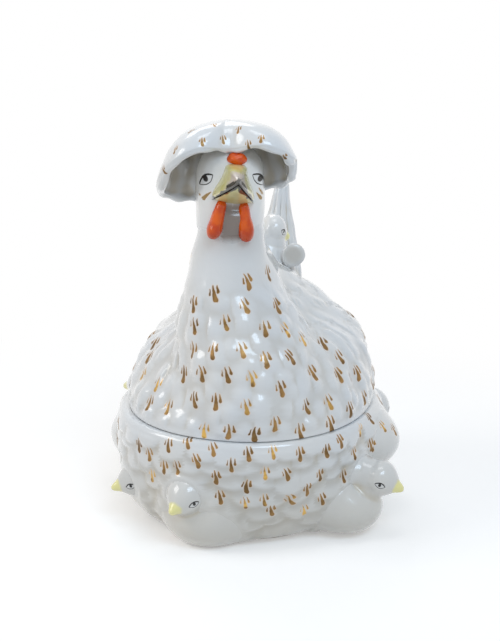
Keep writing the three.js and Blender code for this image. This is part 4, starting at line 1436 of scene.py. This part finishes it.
# Crest: a hollow hood of feathers round the head, open at the front.
crestLook = {
    "halfWidth": 58,
    "back": 52,
    "height": 88,
    "wall": 7,
    "lean": 3,
    "leftRise": 5,
    "shift": 3,
    "columns": 280,
    "rows": 60,
    "topShare": 0.03,
    "scallops": 9,
    "scallopDepth": 2.4,
    "notchTurn": 76,
    "notchDepth": 6,
    "foldHeight": 1.3,
}
# Turn away from the front, reach and height of the rim
crestRimShares = [
    (0, 0.505, 0.765), (3, 0.507, 0.7655), (12, 0.54, 0.772), (22, 0.65, 0.79), (36, 0.82, 0.79),
    (50, 0.94, 0.71), (66, 0.99, 0.58), (84, 1.0, 0.42), (105, 1.0, 0.31), (128, 0.95, 0.245),
    (152, 0.88, 0.21), (180, 0.85, 0.2),
]
crestDomeShares = [
    (0.0, 0.0, 0.0), (0.15, 0.22, 0.015), (0.3, 0.45, 0.075), (0.46, 0.66, 0.2), (0.62, 0.83, 0.42),
    (0.78, 0.94, 0.68), (0.93, 1.0, 0.92), (1.0, 0.985, 1.0),
]


def crestRing(turns, along, inward):
    c = crestLook
    _, reachShare, dropShare = readRows(crestDomeShares, along)[0]
    reachShare = max(reachShare, c["topShare"])
    signed = np.degrees(np.arctan2(np.sin(turns), np.cos(turns)))
    side = np.abs(signed)
    rim = readRows(crestRimShares, side)
    # Only the back of the rim is scalloped, and a notch parts the feathers on her left.
    wave = np.cos(turns * c["scallops"] + 0.6 * np.sin(turns * 3 + 1)) * smoothStep(135, 155, side)
    notch = np.exp(-(((signed - c["notchTurn"]) / 6) ** 2)) * c["notchDepth"] * along**4
    behind = np.maximum(-np.cos(turns), 0) ** 2
    reach = c["halfWidth"] * rim[:, 1] * (1 - behind * (1 - c["back"] / c["halfWidth"])) - inward * reachShare
    reach = reach + wave * c["scallopDepth"] * 0.5 * along**3
    rimHeight = c["height"] * rim[:, 2] - wave * c["scallopDepth"] * along**3 + notch
    rimHeight = rimHeight + c["leftRise"] * smoothStep(30, 80, signed) * smoothStep(180, 130, signed)
    top = c["height"] - inward * (1 - dropShare)
    x, y = np.sin(turns) * reach * reachShare, -np.cos(turns) * reach * reachShare
    z = top - (top - rimHeight) * dropShare + x * math.tan(math.radians(c["lean"]))
    return np.stack([x - c["shift"], y, z], axis=1)


def makeCrest():
    c = crestLook
    turns = turnsOf(c["columns"])
    steps = np.linspace(0, 1, c["rows"])
    rings = [crestRing(turns, along, c["wall"]) for along in steps]
    # The rim is rounded from the inside to the outside.
    for angle in np.radians([20, 45, 70, 90, 110, 135, 160]):
        inward = c["wall"] * (1 + math.cos(angle)) / 2
        edge = crestRing(turns, 1, inward)
        edge[:, 2] -= c["wall"] / 2 * math.sin(angle) * 0.8
        rings.append(edge)
    firstSkin = len(rings)
    rings += [crestRing(turns, along, 0) for along in steps[::-1]]
    rings = np.array(rings)
    along = np.concatenate([steps, np.ones(7), steps[::-1]])[:, None]
    folds = np.sin(turns * 15 + 0.9 * np.sin(turns * 3 + 1) + 3 * along) * along**2 * (1.15 - along)
    relief = folds * 3 * c["foldHeight"] + ripple(rings, 20, 12) * 0.7 * np.minimum(along * 3, 1)
    relief[firstSkin:] *= 0.2
    rings = onHead(rings)
    rings = rings + outwardOf(rings) * relief[..., None]
    piece = bodyOfRings("crest", rings)
    # Painted shade on the inside of the hood.
    shade = np.zeros(rings.shape[:2])
    shade[: len(steps)] = 1.3 * smoothStep(1.0, 0.75, steps)[:, None]
    attributeOn(piece, "under", np.concatenate([[0], shade.ravel(), [0]]))
    return piece


crestPiece = makeCrest()


# Beak: one cone split along a mouth line that drops from the tip to both corners.
beakLook = {
    "length": 34,
    "halfWidth": 16.6,
    "height": 32.5,
    "topShare": 0.765,
    "tipShare": 0.64,
    "mouthShare": 0.628,
    "mouthDrop": 0.56,
    "droop": 1.5,
    "opening": 1.0,
    "columns": 120,
    "rows": 64,
}
# Half width from the bottom, -1, to the top, 1: a rounded wedge, widest at the corners of the mouth
beakWidthShares = [
    (-1.0, 0.62), (-0.86, 0.9), (-0.62, 1.0), (-0.3, 0.93), (0.1, 0.74), (0.5, 0.6), (0.85, 0.52), (1.0, 0.46)
]
beakSizeShares = [(0.0, 1.08), (0.3, 1.0), (0.52, 0.8), (0.7, 0.56), (0.84, 0.36), (0.94, 0.2), (1.0, 0.06)]


def faceReach(share):
    return headLook["halfDepth"] * readRows(headShares, share)[0, 2]


# Beak, comb and wattles lean a little to her left at the top.
def onFace(points):
    x, up = turned(points[..., 0], points[..., 2] - faceMiddle, -faceTilt)
    return onHead(np.stack([x, points[..., 1], up + faceMiddle], axis=-1))


def beakForm():
    b = beakLook
    rootShare = b["topShare"] - b["height"] / headLook["height"]
    rootAhead = headLook["halfDepth"] / 2
    tipAhead = faceReach(b["topShare"]) + b["length"]
    tipHeight = headLook["height"] * b["tipShare"]
    middle = headLook["height"] * (b["topShare"] + rootShare) / 2
    turns = turnsOf(b["columns"])
    rings = []
    for along in np.sin(np.linspace(0, math.pi / 2, b["rows"])):
        size = readRows(beakSizeShares, along)[0, 1]
        up = -np.cos(turns)
        width = readRows(beakWidthShares, up)[:, 1]
        end = 1 - (1 - np.minimum(np.abs(np.sin(turns)) / 0.6, 1)) ** 2
        x = np.sign(np.sin(turns)) * b["halfWidth"] * size * width * end
        ahead = rootAhead + (tipAhead - rootAhead) * along
        height = middle + (tipHeight - middle) * along ** b["droop"]
        z = height + up * b["height"] / 2 * size
        rings.append(np.stack([x, np.full_like(x, -ahead), z], axis=1))
    return np.array(rings)


mouthSlope = beakLook["mouthDrop"] * beakLook["height"] / beakLook["halfWidth"]


def mouthLine(x):
    return headLook["height"] * beakLook["mouthShare"] - mouthSlope * np.abs(x)


def makeBeak(half):
    b = beakLook
    rings = beakForm()
    line = mouthLine(rings[..., 0])
    if half == "upper":
        rings[..., 2] = np.maximum(rings[..., 2], line)
    else:
        rings[..., 2] = np.minimum(rings[..., 2], line - b["opening"])
        lean = np.clip((-rings[..., 1] - faceReach(0.5)) / b["length"], 0, 1)
        rings[..., 1] += lean * 2.0
    return bodyOfRings(half + "Beak", onFace(rings))


# How far a point of the beak lies above the mouth line, and how near the tip.
def markBeak(piece):
    b = beakLook
    points = pointsOf(piece) - np.array(headBase)
    x, y = turned(points[:, 0], points[:, 1], -headTurn)
    x, up = turned(x, points[:, 2] - faceMiddle, faceTilt)
    above = up + faceMiddle - mouthLine(x)
    attributeOn(piece, "mouthGap", np.abs(above) / math.hypot(1, mouthSlope))
    attributeOn(piece, "tipShare", (-y - faceReach(b["topShare"])) / b["length"])
    attributeOn(piece, "upShare", above / b["height"])


beakPieces = {half: makeBeak(half) for half in ("upper", "lower")}
for piece in beakPieces.values():
    markBeak(piece)


def makeBeakGlaze():
    glaze = newGlaze("yellowBeakGlaze")
    tip, up, gap = (glaze.attribute(name) for name in ("tipShare", "upShare", "mouthGap"))
    wobble = glaze.noise(4, 2.0) - 0.5
    colour = glaze.mix(glaze.noise(12, 2.0).ramp(0.3, 0.7), (0.66, 0.60, 0.20), (0.80, 0.76, 0.40))
    # Painted highlight: a pale pinkish patch on the top of the beak near its tip.
    tipHighlight = (tip + wobble * 0.4 + up * 0.4).ramp(0.5, 0.78) * 0.9 * up.ramp(-0.02, 0.02)
    colour = glaze.mix(tipHighlight, colour, (0.70, 0.60, 0.55))
    shade = (1 - up.ramp(-0.4, 0.02)) * 0.5
    colour = glaze.mix(shade, colour, (0.40, 0.32, 0.13))
    smear = glaze.noise(7, 1.0) - 0.5
    line = 1 - (gap + wobble * 2.6 + smear * 4.5 - tip.ramp(0.2, 0.9) * 2.4).ramp(0.7, 1.5)
    colour = glaze.mix(line * 0.95, colour, (0.022, 0.018, 0.01))
    glaze.addBump(glaze.noise(5, 2.0), 0.2)
    return glaze.finish(colour)


# Comb and wattles are one orange-red, darker and redder in their lower parts.
redLook = {
    "combHalf": (8.2, 7.0, 5.0),
    "combSeatShare": 0.795,
    "wattleLength": 33,
    "wattleWidth": 12.5,
    "wattleDepth": 17,
    "wattleSpread": 8.25,
    "wattleSplay": 11,
    "wattleRise": 4,
    "columns": 64,
    "rows": 60,
}
wattleSizeShares = [
    (0.0, 0.3), (0.08, 0.6), (0.3, 0.78), (0.6, 0.98), (0.8, 1.0), (0.92, 0.78), (0.98, 0.45),
    (1.0, 0.12),
]


def makeComb():
    r = redLook
    share = r["combSeatShare"]
    _, deep, high = r["combHalf"]
    place = np.array([0, -faceReach(share) + deep / 3, headLook["height"] * share + high * 0.6])
    piece = pieceFrom("comb", ballForm(r["combHalf"], onFace(place), headTurn, 56))
    points = pointsOf(piece)
    movePoints(piece, points + normalsOf(piece) * (ripple(points, 9, 4) * 0.5)[:, None])
    return piece


def makeWattle(name, side):
    r = redLook
    turns = turnsOf(r["columns"])
    rings = []
    for down in np.sin(np.linspace(0, math.pi / 2, r["rows"])):
        size = readRows(wattleSizeShares, down)[0, 1]
        halfDepth = r["wattleDepth"] / 2 * size
        x, y = ovalPoint(turns, r["wattleWidth"] / 2 * size, halfDepth, halfDepth)
        rings.append(levelRing(x, y, -r["wattleLength"] * down))
    rings = np.array(rings)
    relief = ripple(rings, 12, 15 + side) * 0.35
    rings = rings - outwardOf(rings) * relief[..., None]
    x, z = turned(rings[..., 0], rings[..., 2], math.radians(r["wattleSplay"]) * side)
    rootShare = beakLook["topShare"] - beakLook["height"] / headLook["height"]
    top = headLook["height"] * rootShare + r["wattleRise"]
    ahead = faceReach(0.2) - r["wattleDepth"] * 0.12
    rings = np.stack([x + r["wattleSpread"] * side, rings[..., 1] - ahead, z + top], axis=-1)
    return bodyOfRings(name, onFace(rings))


combPiece = makeComb()
wattlePieces = {"left": makeWattle("leftWattle", 1), "right": makeWattle("rightWattle", -1)}


def makeRedGlaze():
    glaze = newGlaze("orangeRedGlaze", 0.55)
    glaze.shader.inputs["Specular IOR Level"].default_value = 0.15
    patches = glaze.noise(9, 3.0).ramp(0.35, 0.7)
    colour = glaze.mix(patches, (0.66, 0.055, 0.0), (0.86, 0.125, 0.0))
    height = glaze.parts(glaze.objectPlace())[2]
    low = 1 - height.ramp(0.256, 0.278)
    colour = glaze.mix(low * 0.6, colour, (0.34, 0.02, 0.0))
    thin = glaze.noise(4, 2.0).ramp(0.6, 0.8) * 0.15
    colour = glaze.mix(thin, colour, (0.8, 0.3, 0.12))
    glaze.addBump(glaze.noise(6, 2.0), 0.25)
    return glaze.finish(colour)


# An almond eye with a dark outline, heavier above, and a pupil that hangs from the upper lid.
eyeLook = {"line": (0.008, 0.007, 0.006), "white": (0.74, 0.75, 0.75), "gold": (0.30, 0.18, 0.05)}
hensEye = {"halfLong": 6.3, "halfHigh": 3.8, "pupil": (-0.2, -1.2, 1.9, 3.2), "thin": 0.42, "thick": 0.85}
chicksEye = {"halfLong": 4.7, "halfHigh": 2.3, "pupil": (0.4, -0.4, 1.3, 1.6), "thin": 0.3, "thick": 0.6}


def paintEye(glaze, colour, x, y, eye):
    wobble = (glaze.noise(3, 1.0) - 0.5) * 0.5
    x, y = x + wobble, y + wobble
    long, high = eye["halfLong"], eye["halfHigh"]
    lid = abs(y) - (1 - x * x / (long * long)).largest(0.0) * high
    inside = 1 - lid.ramp(-0.1, 0.1)
    half = (1 - y.ramp(-1.0, 0.6)) * (eye["thick"] - eye["thin"]) + eye["thin"]
    rim = 1 - (abs(lid) - half).ramp(-0.15, 0.15)
    rim = rim * (1 - abs(x).ramp(long - 0.2, long + 0.4))
    px, py, wide, tall = eye["pupil"]
    across, down = (x - px) / wide, (y - py) / tall
    pupil = (1 - (across * across + down * down).root().ramp(0.85, 1.1)) * inside
    colour = glaze.mix(inside * 0.5, colour, eyeLook["white"])
    ink = rim.largest(pupil)
    return glaze.mix(ink, colour, eyeLook["line"]), ink


def makeChickGlaze():
    glaze = newGlaze("chickGlaze")
    colour, gold = gild(glaze, whiteOf(glaze))
    beak = glaze.attribute("beak") + (glaze.noise(4, 2.0) - 0.5) * 0.08
    share = chickLook["beakShare"]
    colour = glaze.mix(beak.ramp(share - 0.06, share + 0.04), colour, (0.90, 0.84, 0.36))
    across, down, _ = glaze.mapLayer("eye")
    side, _, _ = glaze.mapLayer("eyeSeed")
    colour, ink = paintEye(glaze, colour, across * (side * 2 - 1), down, chicksEye)
    return glaze.finish(colour, Metallic=gold * 0.75, Coat_Weight=1 - gold.largest(ink))


# Short strokes under each eye: thin end, fat end, half widths, in millimetres from the eye, +Y down
cheekStrokes = (
    (((-10.0, 8.0), (-6.0, 11.4), 0.4, 1.0), ((3.6, 10.4), (-2.4, 14.6), 0.4, 1.9)),
    (((-0.4, 7.0), (2.3, 10.4), 0.4, 1.0), ((-2.2, 11.0), (1.0, 14.4), 0.4, 1.5)),
)


hensEyeTilt = math.radians(27)


def makeFaceGlaze():
    glaze = newGlaze("faceGlaze")
    x, y, _ = glaze.mapLayer("eye")
    side, _, _ = glaze.mapLayer("eyeSeed")
    wobble = (glaze.noise(4, 2.0) - 0.5) * 0.9
    edge = None
    for i, strokes in enumerate(cheekStrokes):
        away = abs(side - float(i)) * 50
        for thin, fat, thinHalf, fatHalf in strokes:
            part = strokeEdge(x + wobble, y + wobble, thin, fat, thinHalf, fatHalf) + away
            edge = part if edge is None else edge.smallest(part)
    gold = 1 - edge.ramp(-0.2, 0.2)
    height = glaze.parts(glaze.objectPlace())[2]
    # Painted light: the face above the neck is mixed whiter than the glaze elsewhere.
    white = glaze.mix(height.ramp(0.264, 0.29) * 0.6, whiteOf(glaze), (0.90, 0.90, 0.87))
    # Painted shade: dark brown on the bib under the beak and between the wattles.
    white = glaze.mix(glaze.attribute("bib").held() * 0.9, white, (0.14, 0.09, 0.06))
    colour = glaze.mix((1 - edge.ramp(0.0, 1.2)) * 0.35, white, goldSettings["halo"])
    colour = glaze.mix(gold, colour, eyeLook["gold"])
    # The eye's long axis rises towards the beak.
    tilt = (0.5 - side) * 2 * hensEyeTilt
    c, s = calc(glaze.tree, "COSINE", tilt), calc(glaze.tree, "SINE", tilt)
    along, over = x * c - y * s, x * s + y * c
    colour, ink = paintEye(glaze, colour, along * (1 - side * 2), over, hensEye)
    return glaze.finish(colour, Metallic=gold * 0.6, Coat_Weight=1 - (gold * 0.6).largest(ink))


# Where the photograph shows the eyes and the crest's marks
eyePixels = ((206.2, 179.4), (259.5, 179.3))
crestMarkPixels = (
    (214, 125), (191, 131), (175, 150), (202, 142), (223, 140),
    (238, 130), (261, 139), (248, 145), (163, 170), (284, 157),
)


def paintHead():
    tree = treeOf(headPiece)
    spots = []
    for i, pixel in enumerate(eyePixels):
        place = pixelOn(tree, pixel)[0]
        if place:
            spots.append({"place": place, "seed": float(i), "facing": True})
    printMarks(headPiece, spots, "eye")


def paintCrest():
    spots = marksAt(crestMarkPixels, crestPiece, 0.5, 48)
    rng = np.random.default_rng(45)
    # The back of the crest goes on in the same way.
    for row, (along, count) in enumerate(((0.35, 5), (0.6, 8), (0.82, 10))):
        for i in range(count):
            tone, other, aside, up = rng.uniform(0, 1, 4)
            turn = math.radians(105 + 150 * (i + 0.5 * (row % 2) + 0.7 * (aside - 0.5)) / count)
            place = onHead(crestRing(np.array([turn]), along + 0.14 * (up - 0.5), 0))[0]
            spots.append({"place": place, "seed": tone, "other": other, "size": 0.6})
    printMarks(crestPiece, spots)


# The two chicks that swell out under the rim carry marks on their breasts, as the dish does.
gildedChicks = ("chick_left_back", "chick_right_back")


def paintChicks():
    for node, face in chickFaces.items():
        piece = chickPieces[node]
        markFace(piece, face)
        spots = marksAt(dishMarkPixels, piece, 0.8, 46) if node in gildedChicks else []
        nowhere = {"place": (0, 0, -500), "seed": 0.5}
        printMarks(piece, spots or [nowhere])


paintHead()
paintCrest()
paintChicks()

beakGlaze, redGlaze = makeBeakGlaze(), makeRedGlaze()
chickGlaze, faceGlaze = makeChickGlaze(), makeFaceGlaze()
finishes = [
    (dishPiece, gildedGlaze, "white_glaze", "nest", "nest_dish"),
    (henPiece, gildedGlaze, "white_glaze", "hen_cover", "hen_body"),
    (headPiece, faceGlaze, "white_glaze", "hen_cover", "hen_head"),
    (crestPiece, gildedGlaze, "white_glaze", "hen_cover", "crest"),
    (combPiece, redGlaze, "red_glaze", "hen_cover", "comb"),
    (beakPieces["upper"], beakGlaze, "yellow_glaze", "hen_cover", "upper_beak"),
    (beakPieces["lower"], beakGlaze, "yellow_glaze", "hen_cover", "lower_beak"),
    (wattlePieces["left"], redGlaze, "red_glaze", "hen_cover", "left_wattle"),
    (wattlePieces["right"], redGlaze, "red_glaze", "hen_cover", "right_wattle"),
    (tailPiece, plainGlaze, "white_glaze", "hen_cover", "tail"),
    (curlPieces["left"], plainGlaze, "white_glaze", "hen_cover", "left_curl"),
    (curlPieces["right"], plainGlaze, "white_glaze", "hen_cover", "right_curl"),
    (chickPieces["back_chick"], chickGlaze, "white_glaze", "hen_cover", "back_chick"),
]
finishes += [(chickPieces[node], chickGlaze, "white_glaze", "nest", node) for node in chickShares]
# Depth of a full hollow, and how widely it is measured
hollowLooks = {"nestDish": (1.1, 36), "henBody": (1.6, 10)}
for piece, material, slot, body, node in finishes:
    shadeHollows(piece, *hollowLooks.get(piece.name, (0.5, 14)))
    glazeWith(piece, material, slot, body, node)

for node, material in (("foot_ring", bareClay), ("cover_flange", plainGlaze)):
    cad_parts[node].data.materials.clear()
    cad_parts[node].data.materials.append(material)
print("glazes laid on")


# Floor and light around the object.
stageLook = {
    "floor": (0.86, 0.86, 0.86),
    "lift": 0.32,
    "ambient": 0.44,
    "size": 8.0,
    "near": 0.22,
    "far": 0.6,
}


# What the camera and reflections see of a white ground.
def seenBy(tree):
    path = tree.nodes.new("ShaderNodeLightPath")
    seen = Wire(tree, path.outputs["Is Camera Ray"])
    for name in ("Is Glossy Ray", "Is Transmission Ray"):
        seen = seen.largest(Wire(tree, path.outputs[name]))
    return seen


# The floor keeps the object's shadow near it and is plain white further off.
def makeFloor():
    bm = bmesh.new()
    bmesh.ops.create_grid(bm, x_segments=1, y_segments=1, size=stageLook["size"])
    floor = pieceFrom("floor", bm)
    floor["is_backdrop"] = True
    glaze = Glaze("paleFloor", Roughness=0.9)
    tree = glaze.tree
    x, y, _ = glaze.parts(glaze.objectPlace())
    far = (x * x + y * y).root().ramp(stageLook["near"], stageLook["far"])
    seen = seenBy(tree)
    colour = glaze.mix(far * seen, stageLook["floor"], (0.0, 0.0, 0.0))
    light = seen * (far * (1 - stageLook["lift"]) + stageLook["lift"])
    glaze.shader.inputs["Emission Strength"].default_value = 1
    glaze.shader.inputs["Specular IOR Level"].default_value = 0
    glow = glaze.mix(light, (0.0, 0.0, 0.0), (1.0, 1.0, 1.0))
    floor.data.materials.append(glaze.finish(colour, Emission_Color=glow))


def makeWorld():
    world = bpy.data.worlds.new("studio")
    scene.world = world
    world.use_nodes = True
    tree = world.node_tree
    background = tree.nodes["Background"]
    background.inputs["Color"].default_value = (1, 1, 1, 1)
    strength = seenBy(tree) * (1 - stageLook["ambient"]) + stageLook["ambient"]
    tree.links.new(strength.socket, background.inputs["Strength"])


makeFloor()
makeWorld()
scene.view_settings.view_transform = "Standard"

asLists = lambda box: [[float(n) for n in corner] for corner in box]
{"cad": asLists(cadBounds), "visual": asLists(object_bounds())}
print("scene ready")
